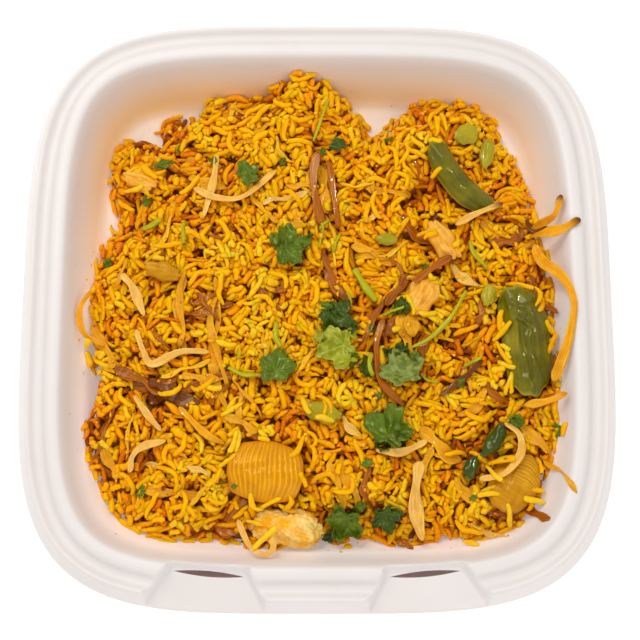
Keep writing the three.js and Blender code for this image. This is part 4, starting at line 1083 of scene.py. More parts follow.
# %% Onion ribbons on the rice
SURFACE_RIBBONS = [
    (2, 22, -67, 23, 5, 10, "brown"), (12.6, 26, -28, 16, 4.5, 20, "amber"),
    (28.5, 5, -114, 22, 4, -10, "brown"), (37.5, 15, -130, 16, 5, 10, "brown"),
    (-24, 43, 8, 21, 3, 10, "pale"), (15, 34.6, 35, 12, 2.6, -20, "pale"),
    (21.5, 60.5, -84, 11.5, 3.6, 0, "amber"), (85, 40, -48, 12, 5, 30, "burnt"),
    (-54, 56, -24, 17, 6, 10, "amber"), (-52.5, 16, -94, 32, 3.4, 4, "amber"),
    (-41, 13, -88, 46, 3.6, 8, "amber"), (-53, 2, 5, 13, 3.5, 20, "brown"),
    (-55, -28.5, 0, 16, 4.5, -10, "amber"), (-82, -24, -32, 24, 5, 10, "brown"),
    (-68, -29, -40, 14, 5, 40, "burnt"), (-90, -2, -75, 24, 5, 20, "amber"),
    (-38, -44, -20, 15, 4, -10, "amber"), (-52, -63, -20, 10, 3.4, 0, "pale"),
    (-69, -62, -20, 13, 3, 10, "pale"), (-41, -86, -30, 9, 5, 20, "brown"),
    (39, -49, -42, 21, 7, 10, "amber"), (45, -55, -120, 13, 5, 20, "amber"),
    (79, -45, -50, 17, 6, 10, "amber"), (81, -77, -60, 10, 5, 30, "brown"),
    (88, -60, -50, 18, 2.6, -10, "amber"), (59, -85, -25, 15, 2.6, 10, "pale"),
    (30, -90, -40, 8, 4, 20, "brown"), (69, 28, -20, 13, 6, 60, "brown"),
    (84, 14, -62, 20, 5, 10, "brown"), (-18, 6, 0, 7, 5, 60, "brown"),
    (-60, 34, -105, 14, 1.6, 10, "brown"), (-49, 31, -16, 12, 1.6, 10, "brown"),
    (5, -60, -78, 20, 4, 10, "amber"), (9, -43, -56, 12, 4.5, 10, "pale"),
    (68, 5, -120, 12, 4, 30, "brown"), (53, 19, -52, 15, 5, 20, "pale"),
    (38, 9, -95, 20, 6.5, 10, "amber"), (-3, 60, -86, 14, 3, 10, "amber"),
    (60, -20, -100, 14, 3, 30, "amber"), (66, -30, -60, 13, 4, 40, "brown"),
    (-30, -32, -100, 14, 3, 20, "amber"), (-14, 52, -20, 14, 3, 30, "amber"),
    (-66, -6, -70, 12, 2.4, 30, "brown"), (20, -62, -110, 14, 4, 30, "brown"),
    (-60, -50, -60, 13, 3, 20, "amber"),
]
surface = {"pale": [], "golden": [], "amber": [], "brown": [], "burnt": []}
for *shape, shade in SURFACE_RIBBONS:
    surface[shade].append(lay_ribbon(height, top_roof, *shape))
for shade, parts in buried.items():
    surface[shade] += parts
print("ribbons on top:", len(SURFACE_RIBBONS))

# %% Thin threads
# Thin soft shreds lie in all directions, where no topping is and the heap is deep enough.
THREADS = 46
dice = np.random.default_rng(57)
for start in dice.integers(0, len(upper_spots[0]), THREADS):
    x, y = AXIS[upper_spots[1][start]], AXIS[upper_spots[0][start]]
    shade = dice.choice(["amber", "amber", "golden", "golden", "brown"])
    length, width, bend = dice.uniform(12, 26), dice.uniform(1.5, 2.6), dice.uniform(-70, 70)
    heading = dice.uniform(0, 360)
    line = ribbon_line(x, y, heading, length, bend)
    if not under_topping[cell_of(*line.T)].any() and (room[cell_of(*line.T)] > 0.3).all():
        surface[shade].append(lay_ribbon(height, top_roof, x, y, heading, length, width, bend, 0.1))
print("surface ribbons:", sum(len(parts) for parts in surface.values()))

# %% The last grains
last_grains = lay_until(target - 0.5, height, ceiling, upper_spots, 0.5, 3000)
filling_grains = lay_until(target - 1.4, height, ceiling, upper_spots, 0.5, 1500, 0.1)
upper_grains += last_grains + filling_grains
print("last grains:", len(last_grains), "filling:", len(filling_grains))

# %% Long curled grains
# A few grains are very long and curl as they swell. They lie on top.
CURLED = 150


def curled_grains():
    """Long grains as strands that bend a long way."""
    dice = np.random.default_rng(41)
    parts = []
    for start in dice.integers(0, len(upper_spots[0]), CURLED):
        x, y = AXIS[upper_spots[1][start]], AXIS[upper_spots[0][start]]
        heading, bend = dice.uniform(0, 360), dice.uniform(40, 150) * dice.choice([-1, 1])
        line = ribbon_line(x, y, heading, dice.uniform(9, 14), bend, 1.1)
        if under_topping[cell_of(*line.T)].any() or (room[cell_of(*line.T)] < 0.4).any():
            continue
        radius = dice.uniform(0.9, 1.15)
        heights = np.minimum(
            lie_on(height, line, radius, radius - 0.9), top_roof[cell_of(*line.T)] - radius,
        )
        path = np.column_stack([line, heights])
        points, faces, _ = strand_part(path, radius, 0.95 * radius, taper=0.5)
        raise_ground(height, path, radius * 0.8, 0.9 * radius)
        parts.append((points, faces, {"tint": np.full(len(points), dice.random())}))
    return parts


curled = curled_grains()
print("curled grains:", len(curled))

# %% [markdown]
# ## Shades of rice
# Saffron and turmeric colour the rice unevenly: most grains are deep yellow, some hold more sauce
# and are orange, a few stay pale. Grains low in the gaps are given the darker shades, as painted
# shade. Each shade is its own piece. Within a shade every grain still gets its own tint from a stored
# number, and its lower side is darker: partly sauce that has gathered there, partly painted shade.

# %% Rice materials
# the colour low between the grains: partly pooled sauce, partly painted shade
SAUCE_AND_SHADE = (0.42, 0.11, 0.003, 1)


def rice_material(name, light, deep, sauce):
    """Soft grains, each between a light and a deep tint, with sauce in blotches, and low down a dark colour
    that is partly sauce and partly painted shade.
    """
    material, tree, shader = new_material(
        name, 0.34, Subsurface_Weight=0.65, Subsurface_Scale=0.003, Specular_IOR_Level=0.35,
    )
    shader.inputs["Subsurface Radius"].default_value = (1.0, 0.6, 0.1)
    shader.inputs["Specular Tint"].default_value = (1.0, 0.62, 0.12, 1)
    tinted = blend(tree, field(tree, "tint"), light, deep)
    coated = use_group(tree, BLOTCHES, Main=tinted, Second=sauce, Size=420.0, Share=0.5)
    sauce_and_shade = blend(tree, field(tree, "low"), coated["Color"], SAUCE_AND_SHADE)
    grain = use_group(tree, FINE_GRAIN, Size=1500.0, Middle=0.38, Swing=0.35)
    finish_material(tree, shader, sauce_and_shade, grain["Roughness"], bump(tree, grain["Height"], 0.00015, 0.5))
    return material


# Each shade: its share of the grains, light tint, deep tint, sauce.
RICE_SHADES = {
    "pale": (0.08, (1.0, 0.60, 0.02, 1), (1.0, 0.53, 0.008, 1), (0.96, 0.40, 0.004, 1)),
    "golden": (0.42, (1.0, 0.51, 0.002, 1), (1.0, 0.44, 0.002, 1), (0.96, 0.34, 0.002, 1)),
    "saffron": (0.31, (1.0, 0.42, 0.002, 1), (0.98, 0.34, 0.002, 1), (0.86, 0.24, 0.002, 1)),
    "deep": (0.13, (0.92, 0.29, 0.002, 1), (0.72, 0.18, 0.002, 1), (0.50, 0.11, 0.002, 1)),
    "sauced_and_shaded": (0.06, (0.48, 0.12, 0.002, 1), (0.30, 0.064, 0.002, 1), (0.17, 0.030, 0.002, 1)),
}
print("rice shades:", list(RICE_SHADES))

# %% Which grain gets which shade
# painted shade: grains lying lower in the heap get the darker shades
DEPTH_SHARE = 0.13  # how much a grain's shade deepens for each millimetre down
HIDDEN = 0.9  # grains this far under the top can't be seen
SAUCE_AND_SHADE_SHARE = 0.7  # how much of the colour low between the grains is that of sauce and painted shade


def seen(grains, top):
    """Only the grains that reach the top of the map anywhere, or lie at the heap's edge."""
    x, y, z, yaw, pitch, length, radius = grains.T[:7, :, None]
    along = STATIONS * length / 2
    reached = z + np.tan(pitch) * along + 0.9 * radius
    cells = cell_of(x + np.cos(yaw) * along, y + np.sin(yaw) * along)
    edge = softened(HEAP.astype(float), 30)[cell_of(x[:, 0], y[:, 0])] < 0.93
    return grains[(reached > top[cells] - HIDDEN).any(1) | edge]


def shade_of(grains, dice):
    """The number of each grain's shade: darker low down as painted shade, and in patches and in dark clumps.
    """
    x, y, z = grains.T[:3]
    down = smooth_target[cell_of(x, y)] - z - 0.6
    patch = np.sin(x / 9 + 0.6) + np.sin(y / 8 + 1.9) + np.sin((x + y) / 13)
    tone = clump_tone[cell_of(x, y)]
    darkness = 0.36 * dice.random(len(grains)) + 0.06 * patch - tone + DEPTH_SHARE * np.clip(down, -1.5, 5)
    rank = (np.argsort(np.argsort(darkness)) + 0.5) / len(grains)
    return np.searchsorted(np.cumsum([shade[0] for shade in RICE_SHADES.values()]), rank)

# %% Making the rice pieces
def add_rice(grains):
    """Adds one piece for each shade of grain, and one for the curled grains."""
    grains = seen(np.array(grains), ground)
    dice = np.random.default_rng(23)
    chosen = shade_of(grains, dice)
    for index, (shade, (_, light, deep, sauce)) in enumerate(RICE_SHADES.items()):
        mine = grains[chosen == index]
        points = grain_points(mine, dice)
        mesh = build_mesh(f"rice_{shade}", points, grain_faces(len(mine)))
        set_field(mesh, "tint", np.repeat(dice.random(len(mine)), points.shape[1]))
        # painted shade: the further a point lies under the top of the heap, the more of the dark colour it
        # gets
        below = ground[cell_of(points[:, :, 0], points[:, :, 1])] - points[:, :, 2]
        set_field(mesh, "low", SAUCE_AND_SHADE_SHARE * np.clip((below - 0.5) / 2.2, 0, 1).ravel())
        add_piece(
            f"rice_{shade}", mesh, rice_material(f"{shade}_rice", light, deep, sauce), ["rice"],
        )
        print(f"rice_{shade}: {len(mine)} grains")
    mesh = join_parts("rice_curled", curled)
    _, light, deep, sauce = RICE_SHADES["golden"]
    add_piece("rice_curled", mesh, rice_material("curled_rice", light, deep, sauce), ["rice"])

# %% [markdown]
# ## Under the grains
# Nothing is seen of the middle of the heap but dark gaps. A core fills it: the height map lowered by
# a few grains, closed below, in the brown of sauce in shade. It also keeps light from shining
# through the heap.

# %% The heap's core
CORE_STEP = 4  # map cells from one point of the core to the next


def shaded_rice():
    """The brown of rice and sauce in shade."""
    material, tree, shader = new_material("shaded_rice", 0.6)
    shade = use_group(
        tree, BLOTCHES, Main=(0.50, 0.16, 0.003, 1), Second=(0.24, 0.06, 0.002, 1), Size=260.0, Share=0.8,
    )
    grain = use_group(tree, FINE_GRAIN, Size=500.0, Middle=0.55, Swing=0.3)
    finish_material(
        tree, shader, shade["Color"], grain["Roughness"], bump(tree, grain["Height"], 0.001, 0.8),
    )
    return material


def build_core():
    """A closed body between the lowered height map and the tray."""
    every = slice(None, None, CORE_STEP), slice(None, None, CORE_STEP)
    kept = softened(HEAP.astype(float), 4)[every] > 0.9
    bottoms = tray_top[every] - 0.5
    tops = np.maximum(core_top[every], bottoms + 0.3)
    xs, ys = GRID_X[every], GRID_Y[every]
    side = len(tops)
    number = np.arange(side * side).reshape(side, side)
    cell = kept[:-1, :-1] & kept[1:, :-1] & kept[:-1, 1:] & kept[1:, 1:]
    r, c = np.nonzero(cell)
    top_faces = np.stack([number[r, c], number[r, c + 1], number[r + 1, c + 1], number[r + 1, c]], 1)
    edges = {(a, b): True for face in top_faces for a, b in zip(face, np.roll(face, -1))}
    rim = np.array([(a, b) for a, b in edges if (b, a) not in edges])
    total = side * side
    walls = np.stack([rim[:, 1], rim[:, 0], rim[:, 0] + total, rim[:, 1] + total], 1)
    points = np.concatenate([
        np.stack([xs, ys, tops], 2).reshape(-1, 3),
        np.stack([xs, ys, bottoms], 2).reshape(-1, 3),
    ])
    faces = np.concatenate([top_faces, top_faces[:, ::-1] + total, walls])
    used, renumbered = np.unique(faces, return_inverse=True)
    return build_mesh("rice_core", points[used], [renumbered.reshape(faces.shape)])


core = add_piece("rice_core", build_core(), shaded_rice(), ["rice"])
print("core faces:", len(core.data.polygons))

# %% [markdown]
# ## Laying the toppings
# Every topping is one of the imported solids, so its place is already settled. Its detailed piece is
# made from the same plan sizes, and its height is read off the solid by a ray from above. That
# keeps each piece on its solid while its surface gains creases, ribs, folds and a thin edge.

# %% Heights and ripples for toppings
def height_on(name, x, y):
    """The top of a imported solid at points; beside it, its nearest point."""
    tree = SOLIDS[name]
    middle = sum(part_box(name), Vector()).z / (2 * MM)
    found = np.empty(np.shape(x))
    for index in np.ndindex(found.shape):
        hit = tree.ray_cast(Vector((x[index], y[index], ABOVE)), DOWN)[0]
        if hit is None:
            hit = tree.find_nearest(Vector((x[index], y[index], middle)))[0]
        found[index] = hit.z
    return found


def ripples(x, y, size, seed, count=5):
    """Soft unevenness of height about one, from a few waves in seeded directions."""
    dice = np.random.default_rng(seed)
    total = np.zeros(np.shape(x))
    for _ in range(count):
        way, phase, pace = dice.uniform(0, math.tau), dice.uniform(0, math.tau), dice.uniform(0.7, 1.6)
        total += np.sin((x * math.cos(way) + y * math.sin(way)) * pace * math.tau / size + phase)
    return total / math.sqrt(count)


def creased(u, v, creases):
    """Heights of pressed folds: each is (u, v, turn in degrees, length, width, height)."""
    total = np.zeros(np.shape(u))
    for u0, v0, turn, length, width, rise in creases:
        c, s = math.cos(math.radians(turn)), math.sin(math.radians(turn))
        along, aside = c * (u - u0) + s * (v - v0), -s * (u - u0) + c * (v - v0)
        total += rise * np.exp(-((aside / width) ** 2) - (along / length) ** 4)
    return total

# %% [markdown]
# ### Wet fibres and skin
# Onion and pepper have the same finish with different numbers: lighter fibres run along the piece,
# the shade drifts, and the surface is wet. One group draws the fibres from the stored positions
# along and across each piece, so they follow every bend of a shred.

# %% Fibres as a node group
def build_fibres():
    """Lines along a piece between two colours, a third colour at its edges, and a height for a bump."""
    inputs = [(label, "Color", (1, 1, 1, 1)) for label in ("Main", "Fibre", "Edge")]
    inputs += [("Count", "Float", 4.0), ("Strength", "Float", 0.6)]
    group, given, out = new_group("fibres", inputs, [("Color", "Color"), ("Height", "Float")])
    across = calc(group, "MULTIPLY", field(group, "across"), given["Count"])
    along = calc(group, "MULTIPLY", field(group, "along"), 0.06)
    where = put(group, "ShaderNodeCombineXYZ", {0: across, 1: along})
    lines = put(group, "ShaderNodeTexNoise", {"Vector": where.outputs[0], "Scale": 1.6, "Detail": 2.0})
    mask = scale_to(group, lines.outputs[0], 0.42, 0.62)
    share = calc(group, "MULTIPLY", mask, given["Strength"])
    streaked = blend(group, share, given["Main"], given["Fibre"])
    size = calc(group, "ABSOLUTE", field(group, "across"))
    rim = scale_to(group, size, 0.8, 1.0, 0.0, 0.75)
    group.links.new(blend(group, rim, streaked, given["Edge"]), out.inputs["Color"])
    group.links.new(lines.outputs[0], out.inputs["Height"])
    return group


FIBRES = build_fibres()
print("fibres:", FIBRES.name)

# %% Wet onion
CHARRED = (0.09, 0.018, 0.004, 1)
STAINED = (0.3, 0.1, 0.01, 1)


def wet_strip(name, main, fibre, edge, count=4.0, strength=0.6, rough=0.22, coat=0.14, sheer=0.45):
    """Onion or pepper: streaked along its length, wet, and a little see-through."""
    material, tree, shader = new_material(
        name, rough, Subsurface_Weight=sheer, Subsurface_Scale=0.002, Coat_Weight=coat, Coat_Roughness=0.05,
        Specular_IOR_Level=0.3,
    )
    shader.inputs["Subsurface Radius"].default_value = (1.0, 0.6, 0.1)
    shader.inputs["Specular Tint"].default_value = (1.0, 0.7, 0.15, 1)
    streaks = use_group(tree, FIBRES, Main=main, Fibre=fibre, Edge=edge, Count=count, Strength=strength)
    ribbed = blend(tree, field(tree, "rib"), streaks["Color"], fibre)
    burnt = blend(tree, field(tree, "burn"), ribbed, CHARRED)
    patches = use_group(tree, BLOTCHES, Main=burnt, Second=blend(tree, 0.45, burnt, STAINED), Size=220.0)
    grain = use_group(tree, FINE_GRAIN, Size=900.0, Middle=rough, Swing=0.3)
    finish_material(
        tree, shader, patches["Color"], grain["Roughness"], bump(tree, streaks["Height"], 0.0004, 0.5),
    )
    return material


ONION = {
    # the lighter edge colour of the pale and amber onion is a painted highlight along their edges
    "pale": wet_strip(
        "pale_onion", (0.84, 0.40, 0.03, 1), (0.98, 0.72, 0.27, 1), (0.96, 0.60, 0.15, 1),
        count=5.0, strength=0.8,
    ),
    "amber": wet_strip(
        "amber_onion", (0.80, 0.29, 0.002, 1), (1.0, 0.56, 0.03, 1), (0.96, 0.52, 0.04, 1),
        count=5.0, strength=0.8,
    ),
    "golden": wet_strip(
        "golden_onion", (0.98, 0.48, 0.006, 1), (1.0, 0.64, 0.05, 1), (0.92, 0.38, 0.004, 1),
    ),
    "brown": wet_strip(
        "brown_onion", (0.27, 0.055, 0.002, 1), (0.66, 0.20, 0.003, 1), (0.14, 0.022, 0.002, 1),
        count=3.0, strength=0.8, rough=0.12, coat=0.4, sheer=0.35,
    ),
    "burnt": wet_strip(
        "burnt_onion", (0.10, 0.018, 0.002, 1), (0.30, 0.07, 0.003, 1), (0.03, 0.006, 0.002, 1),
        rough=0.14, coat=0.4,
    ),
}
print("onion shades:", list(ONION))

# %% [markdown]
# ### Onion shreds
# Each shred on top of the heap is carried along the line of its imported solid. Its section is cupped,
# as a shred cut from a round onion is, it rolls a little to each side, and fried tips turn dark.

# %% Onion shreds
# Each shred: shade, width, how burnt its two ends are, and the points it passes through.
SHREDS = {
    "onion_long_right": (
        "amber", 4.2, (0, 0),
        [(88, 26), (90, 17), (97.5, 8), (100.5, -1), (99, -11), (96, -21), (92.5, -31)],
    ),
    "onion_shred_left_hook": ("pale", 3.2, (0, 0), [(-73, -66), (-72, -60), (-67.5, -56), (-59, -54)]),
    "onion_shred_left_low": ("pale", 3.0, (0, 0), [(-72, -36), (-67, -43), (-61, -50)]),
    "onion_shred_left_bent": (
        "pale", 3.2, (0, 0), [(-72, -9.5), (-69, -18), (-65, -23.5), (-54, -18.5), (-43, -18.5)],
    ),
    "onion_shred_left_edge": ("pale", 4.0, (0, 0), [(-79, 14), (-74, 8), (-69, -3.5)]),
    "onion_loop_left": ("amber", 2.6, (0.2, 0), [(-91, 7), (-94.5, -2), (-92.5, -11), (-85, -15)]),
    "onion_shred_upright": ("pale", 3.2, (0, 0), [(-41, 64), (-42.5, 51), (-46, 37)]),
    "onion_shred_crossing": ("pale", 2.8, (0, 0), [(-50, 49), (-41, 45), (-30, 45.5), (-17, 57)]),
    "onion_shred_lower": ("amber", 3.0, (0, 0.3), [(-54, -41), (-44, -51), (-36, -55.5)]),
    "onion_brown_back": ("brown", 4.0, (0, 0), [(0, 65), (-1.5, 52), (1.5, 34)]),
    "onion_brown_back_thin": ("brown", 3.0, (0, 0), [(4.8, 61), (6.5, 48), (8.5, 33)]),
    "onion_ring_right": (
        "pale", 3.2, (0, 0), [(73, -47.5), (78.5, -52), (79, -59.5), (72.5, -67), (63, -69)],
    ),
    "onion_petal_long": ("pale", 5.4, (0, 0), [(40, -62), (38, -77), (41, -92)]),
    "onion_shred_beige": ("pale", 3.4, (0, 0), [(23, -58), (33, -58.5), (43, -54)]),
    "onion_brown_middle": ("brown", 3.0, (0.2, 0.2), [(26.5, -5), (23.5, -16), (25, -30), (34, -40)]),
    "onion_burnt_right": ("burnt", 2.8, (0.6, 0.8), [(48, -36.5), (57, -30), (65.5, -22)]),
    "onion_brown_upper": ("brown", 3.6, (0, 0.4), [(38.5, 9), (45, 14), (54, 20)]),
    "onion_shred_tipped": ("pale", 2.8, (0, 1), [(56, 34), (64, 37.5), (75, 42)]),
    "onion_loop_front": (
        "pale", 2.6, (0, 0), [(-31, -84), (-25.5, -95), (-19.5, -98), (-16.5, -94.5), (-21, -88)],
    ),
    "onion_sprig_long": ("amber", 4.2, (0.4, 1), [(86, 29), (95, 28.5), (104.5, 33)]),
    "onion_sprig_short": ("amber", 3.2, (0.4, 1), [(87.5, 34), (94.5, 35.5), (97.5, 43.5)]),
    "onion_tip_right": ("amber", 3.2, (0, 0.3), [(81, -40.5), (90.5, -39), (97, -36.5)]),
}
SHRED_DEPTH = 0.45
print("shreds:", len(SHREDS))

# %% Dressing one strand
def burn_ends(share, ends):
    """How burnt each point is, from how burnt the two ends are."""
    start, finish = ends
    return start * np.clip(1 - share / 0.25, 0, 1) + finish * np.clip((share - 0.72) / 0.25, 0, 1)


def dress_strand(name, width, depth, through, ends=(0, 0), cup=0.2, roll=0.3, taper=0.3):
    """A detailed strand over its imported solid."""
    line = smooth_line(through, 1.0)
    heights = height_on(name, line[:, 0], line[:, 1])
    heights = np.convolve(np.pad(heights, 2, "edge"), np.full(5, 0.2), "valid") - depth
    path = np.column_stack([line, heights])
    phase = line[0, 0]
    waver = 0.1 + 0.03 * width
    half_width = width / 2 * (0.9 + waver * np.sin(np.linspace(0, 9, len(line)) + phase))
    rolls = roll * np.sin(np.linspace(0, 6, len(line)) + phase)
    points, faces, fields = strand_part(path, half_width, depth, cup, rolls, taper)
    points[:, 2] = np.minimum(points[:, 2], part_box(name)[1].z / MM)
    fields["burn"] = burn_ends(fields["share"], ends)
    raise_ground(ground, path, half_width, depth)
    return points, faces, fields

# %% Adding the ribbons and the shreds
SHADE_SLOTS = {shade: f"onion_{shade}" for shade in ("pale", "amber", "brown", "burnt")}
SHADE_SLOTS["golden"] = "onion_amber"
for shade, parts in surface.items():
    for _, _, fields in parts:
        burnt = 0.35 if shade == "brown" else 0.0
        fields["burn"] = burnt * burn_ends(fields["share"], (1, 1))
    add_piece(f"onion_ribbons_{shade}", join_parts("ribbons", parts), ONION[shade])
ground = np.maximum(height, topping_top)
for name, (shade, width, ends, through) in SHREDS.items():
    part = dress_strand(name, width, SHRED_DEPTH, through, ends, cup=0.34, roll=0.45)
    add_piece(f"{name}_soft", join_parts(name, [part]), ONION[shade], [name])
print("ribbon pieces:", len(surface))

# %% [markdown]
# ### Stalks
# Herb stalks are round, pale green and juicy, cut square at the ends. They are the same strands with
# a round section and no cup.

# %% Herb stalks
STALKS = {
    "stem_long": (1.9, [(59.5, 6), (53, -5), (45, -13), (37.5, -17)]),
    "stem_thick": (3.2, [(15, 15), (19, 8), (23.5, 2)]),
    "stem_curved_right": (1.8, [(61.5, 27), (63.5, 20.5), (68.5, 15.5)]),
    "stem_back": (1.4, [(-1.5, 69), (2, 79), (4.5, 87)]),
    "stem_low_left": (1.9, [(-35, -25), (-29, -28), (-22, -28)]),
}
STALK_GREEN = wet_strip(
    "herb_stalk", (0.36, 0.38, 0.003, 1), (0.62, 0.62, 0.05, 1), (0.28, 0.34, 0.003, 1), count=2.0,
    rough=0.25,
)
for name, (width, through) in STALKS.items():
    part = dress_strand(name, width, width * 0.42, through, cup=0.0, roll=0.0, taper=0.75)
    add_piece(f"{name}_fresh", join_parts(name, [part]), STALK_GREEN, [name])
print("stalks:", len(STALKS))

# %% [markdown]
# ### Pepper, chilli and onion layers
# A cut piece of vegetable is a slab that is arched across and rounded in plan. It is made as a fine
# grid over the plan of its solid. Cooked skin slumps, so the top gets folds pressed into it; an onion
# layer gets fine ribs from its root to its tip.

# %% Slabs
# Each slab: place, (length, width), turn, depth below its rim, arch, bend, rounding, ribs.
SLABS = {
    "pepper_large": ((82.6, -14), (45, 20), 96, 4, 5, 1.5, 0.8, 0),
    "pepper_strip_back": ((57.5, 53.5), (37, 11), -52, 4, 3.8, 3, 0.6, 0),
    "onion_chunk_front": ((-20, -66), (30, 24), -8, 4.5, 4.2, 0, 0.74, 15),
    "onion_petal_right": ((77, -70), (25, 19), 58, 3.5, 3.4, 0, 0.95, 19),
    "pepper_flat_back": ((61.5, 73.5), (10, 9), 10, 1.6, 0.8, 0, 1.0, 0),
    "pepper_sliver_back": ((70, 65.5), (13, 6), 80, 1.6, 1, 0, 1.0, 0),
    "pepper_slice_middle": ((2, -43), (15, 8), -18, 1.6, 1.6, 0, 1.0, 0),
    "pepper_bit_right": ((68.3, 4), (9, 6), 75, 1.6, 1, 0, 1.0, 0),
    "pepper_bit_centre": ((28, 27.5), (9, 5), 0, 1.6, 1, 0, 1.0, 0),
    "chilli_long": ((69, -54), (16, 7), 56, 1.6, 2.4, 0.8, 1.3, 0),
    "chilli_short": ((60, -64.5), (10, 6), 65, 1.6, 1.8, -0.5, 1.2, 0),
    "onion_petal_middle": ((42, 4), (16, 12), 60, 1.6, 2.4, 0, 0.7, 0),
    "onion_petal_back": ((51, 27), (18, 10), -60, 1.6, 2.4, 0, 0.7, 0),
    "onion_petal_left": ((-72, 53.5), (14, 9), -25, 1.6, 2, 0, 1.0, 0),
    "onion_petal_olive": ((-62, 14.5), (15, 8), -14, 1.6, 2, 0, 1.0, 0),
}
print("slabs:", len(SLABS))

# %% Folds in the skins
# Each fold: u, v, turn, length, width, height.
FOLDS = {
    "pepper_large": [
        (0.1, -0.35, 8, 0.6, 0.07, 1.1), (0.35, 0.15, 70, 0.5, 0.07, -1.2),
        (-0.1, 0.45, -10, 0.6, 0.07, 1.2), (-0.35, 0.1, 20, 0.5, 0.07, -1.0),
        (0.55, -0.2, -60, 0.5, 0.07, 1.1), (-0.6, -0.3, 45, 0.4, 0.08, 1.0),
        (0.15, 0.75, 0, 0.6, 0.14, -1.2), (-0.15, -0.7, 5, 0.5, 0.12, 0.9),
        (0.45, 0.5, 25, 0.35, 0.05, 0.9), (0.62, 0.1, 75, 0.5, 0.05, 0.8),
        (-0.05, 0.0, -35, 0.4, 0.05, 0.8), (-0.75, 0.2, 80, 0.4, 0.06, 0.7),
    ],
    "chilli_long": [(0.2, 0.2, 10, 0.7, 0.12, -0.6), (-0.4, -0.2, 60, 0.4, 0.1, 0.5)],
    "chilli_short": [(0.1, -0.1, 20, 0.7, 0.12, -0.6)],
    "pepper_strip_back": [
        (0, 0.45, 0, 1.2, 0.08, 0.35), (0, -0.5, 0, 1.2, 0.2, -0.5), (-0.6, 0.1, 60, 0.3, 0.1, 0.3),
    ],
    "onion_petal_right": [(0.2, 0.3, 15, 0.6, 0.1, -0.5), (-0.3, -0.4, 10, 0.5, 0.12, -0.5)],
    "onion_petal_middle": [
        (0.1, 0.2, 30, 0.9, 0.12, 0.9), (-0.4, -0.3, -50, 0.5, 0.12, -0.8), (0.5, -0.3, 80, 0.5, 0.1, 0.7),
    ],
    "onion_petal_back": [
        (0.1, 0.1, 10, 0.9, 0.12, 0.9), (-0.4, -0.3, -60, 0.5, 0.12, -0.8), (0.5, -0.2, 60, 0.5, 0.1, 0.7),
    ],
    "onion_petal_left": [(0, 0.2, 20, 0.9, 0.14, 0.6), (0.3, -0.4, -40, 0.4, 0.12, 0.6)],
    "onion_petal_olive": [(0, 0.3, 5, 0.9, 0.14, -0.6), (-0.3, -0.2, 40, 0.4, 0.12, 0.5)],
}
SMALL_FOLDS = [(0.1, 0.15, 15, 0.8, 0.14, -0.5), (-0.3, -0.3, -50, 0.5, 0.12, 0.4)]
RAGGED = {"pepper_large": 1.0, "pepper_strip_back": 1.0}  # how wavy an edge is
WAVY, RIBBED = 2.4, 0.3  # the same for any other piece, and for a ribbed one
WORN = {"onion_petal_right"}  # its near half is worn smooth
UNDERCUT = 0.93  # size of a slab's underside beside its top
RIB_HEIGHT = 0.22
print("pieces with folds of their own:", len(FOLDS))

# %% One slab
def slab_top(name, u, v, x, y, depth, arch, ribs, ragged):
    """Heights of a slab's top, and how much each place is a rib or the edge."""
    seed = sum(map(ord, name))
    edge = np.maximum(np.abs(u), np.abs(v))
    inner = np.clip((1 - edge) / 0.12, 0, 1)
    crown = arch * (1 - v**2) * (1 - 0.35 * u**2) - 0.55 * np.clip((edge - 0.82) / 0.18, 0, 1) ** 2
    folds = creased(u, v, FOLDS.get(name, SMALL_FOLDS))
    crown = crown + inner * (folds + 0.05 * arch * ragged * ripples(x, y, 6.0, seed))
    drift = u + 0.05 * v + 0.06 * u * v**2 + 0.02 * np.sin(4 * v) + 0.02 * np.sin(7 * u)
    rib = np.cos(ribs * math.pi / 2 * drift) ** 8 * (1 - 0.6 * v**2) if ribs else 0 * u
    if name in WORN:
        rib = rib * np.clip((u + 0.15) / 0.4, 0, 1)
    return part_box(name)[0].z / MM + depth + crown + RIB_HEIGHT * inner * rib, rib * inner, edge


